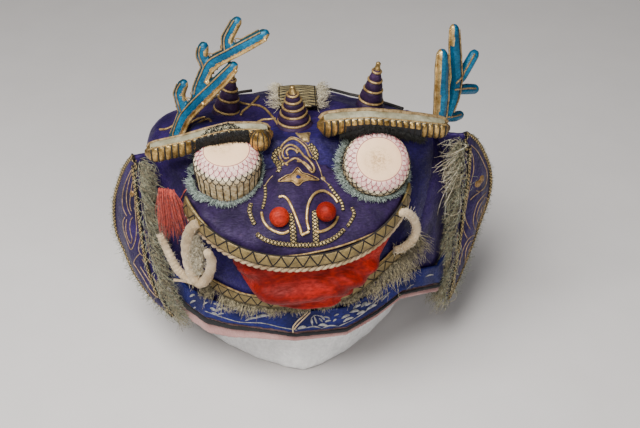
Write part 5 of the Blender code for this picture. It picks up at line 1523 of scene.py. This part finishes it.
def make_spine(crown_tree):
    def top(x, y, lift):
        hit, normal, _, _ = crown_tree.ray_cast(Vector((x, y, 300)) * MM, Vector((0, 0, -1)))
        return hit / MM + normal * lift

    path, across = [], []
    for i in range(60):
        y = -17.0 + 61.0 * i / 59
        x = 0.10 * (y + 20)
        path.append(top(x, y, 1.6))
        across.append(Vector((1, -0.05, 0)))
    strip_piece("spine_strip", path, across, 10.5, "spine_net", ["spine_band"], crown=0.9)
    for side, sign in (("left", -1.0), ("right", 1.0)):
        def root(t):
            y = -16.0 + 59.0 * t
            return top(0.10 * (y + 20) + 1.0 + sign * 10.3, y, 1.6)

        def reach(t):
            return Vector((sign * 4.6, -0.6, 2.0 * math.sin(t * 14.0)))

        fringe("spine_threads_" + side, root, reach, 380, "cream_fluff", radius=0.15, curl=0.45,
               spread=0.35, steps=4, seed=81, replaces=["spine_fur_" + side])


CROWN_SCROLLS = (
    ((240, 103), (248.6, 105), (257, 105.7), (264.3, 108.6), (270, 114.3), (275.7, 121.4), (281.4, 130),
     (288.6, 135.7)),
    ((240.7, 115.7), (243, 111.5), (249, 107), (254, 102), (258.6, 97)),
    ((257, 123), (262.9, 120.2), (268.6, 119.8), (276, 119)),
    ((183, 133), (192.9, 128.6), (201, 122), (208, 119.5), (211, 122.5), (207, 127.5)),
    ((178, 131.5), (190, 124), (197, 120), (205, 117.5)),
    ((160, 130), (167, 129.3), (174.3, 125.7)),
    ((331, 118), (334, 126), (333, 135)),
)


def make_crown_lines(crown_tree):
    """Gold scrolls beside the spine, and the cover of the crown's two wires."""
    couch_seen("crown_scrolls", crown_tree, CROWN_SCROLLS, 0.7, "pale_gold", 0.3)
    for side in SIDES:
        bpy.data.objects["crown_wire_" + side].data.materials[0] = LOOKS["wire"]


RIM_LOOP_PIXELS = ((307.5, 311.5), (302, 316.5), (297, 321), (293, 327), (293.5, 333), (295.5, 337))
RIM_THREAD_PIXELS = ((310, 312), (303.5, 318.5), (298, 324), (294, 329))
TASSEL_THREAD = ((176.5, 218), (178, 206), (182, 197), (187, 189.5))
JAW_WIRE = ((173.5, 280), (183, 281), (192, 283.5), (199, 288))


def make_loose_threads(band_tree, face_tree):
    couch_seen("rim_thread_loop", band_tree, (RIM_LOOP_PIXELS, RIM_THREAD_PIXELS), 0.42, "tan_thread", 0.4)
    couch_seen("tassel_thread", face_tree, (TASSEL_THREAD,), 0.3, "coral", 0.5)
    wire = eased([seen_at_depth(pixel, -58.0) for pixel in JAW_WIRE], 24)
    threads_piece("jaw_wire", [wire], 0.75, "tan_thread", 7)


def build():
    make_camera()
    make_stage()
    crown_tree, band_tree, pad_tree, muzzle_tree = make_body()
    face_tree = EitherTree(pad_tree, muzzle_tree, crown_tree)
    make_tongue()
    make_lips(pad_tree, muzzle_tree)
    make_jaw_fringe(pad_tree)
    for side in SIDES:
        make_eye(side, EitherTree(pad_tree, muzzle_tree))
        make_brow(side)
        make_ear(side)
    for side in HORN_PLACES:
        make_horn(side)
    make_antlers()
    make_tusks()
    make_tassel()
    make_nostrils(face_tree)
    make_nose_work(face_tree)
    make_motifs(face_tree)
    make_band_work(band_tree)
    make_spine(crown_tree)
    make_crown_lines(crown_tree)
    make_loose_threads(band_tree, face_tree)


build()
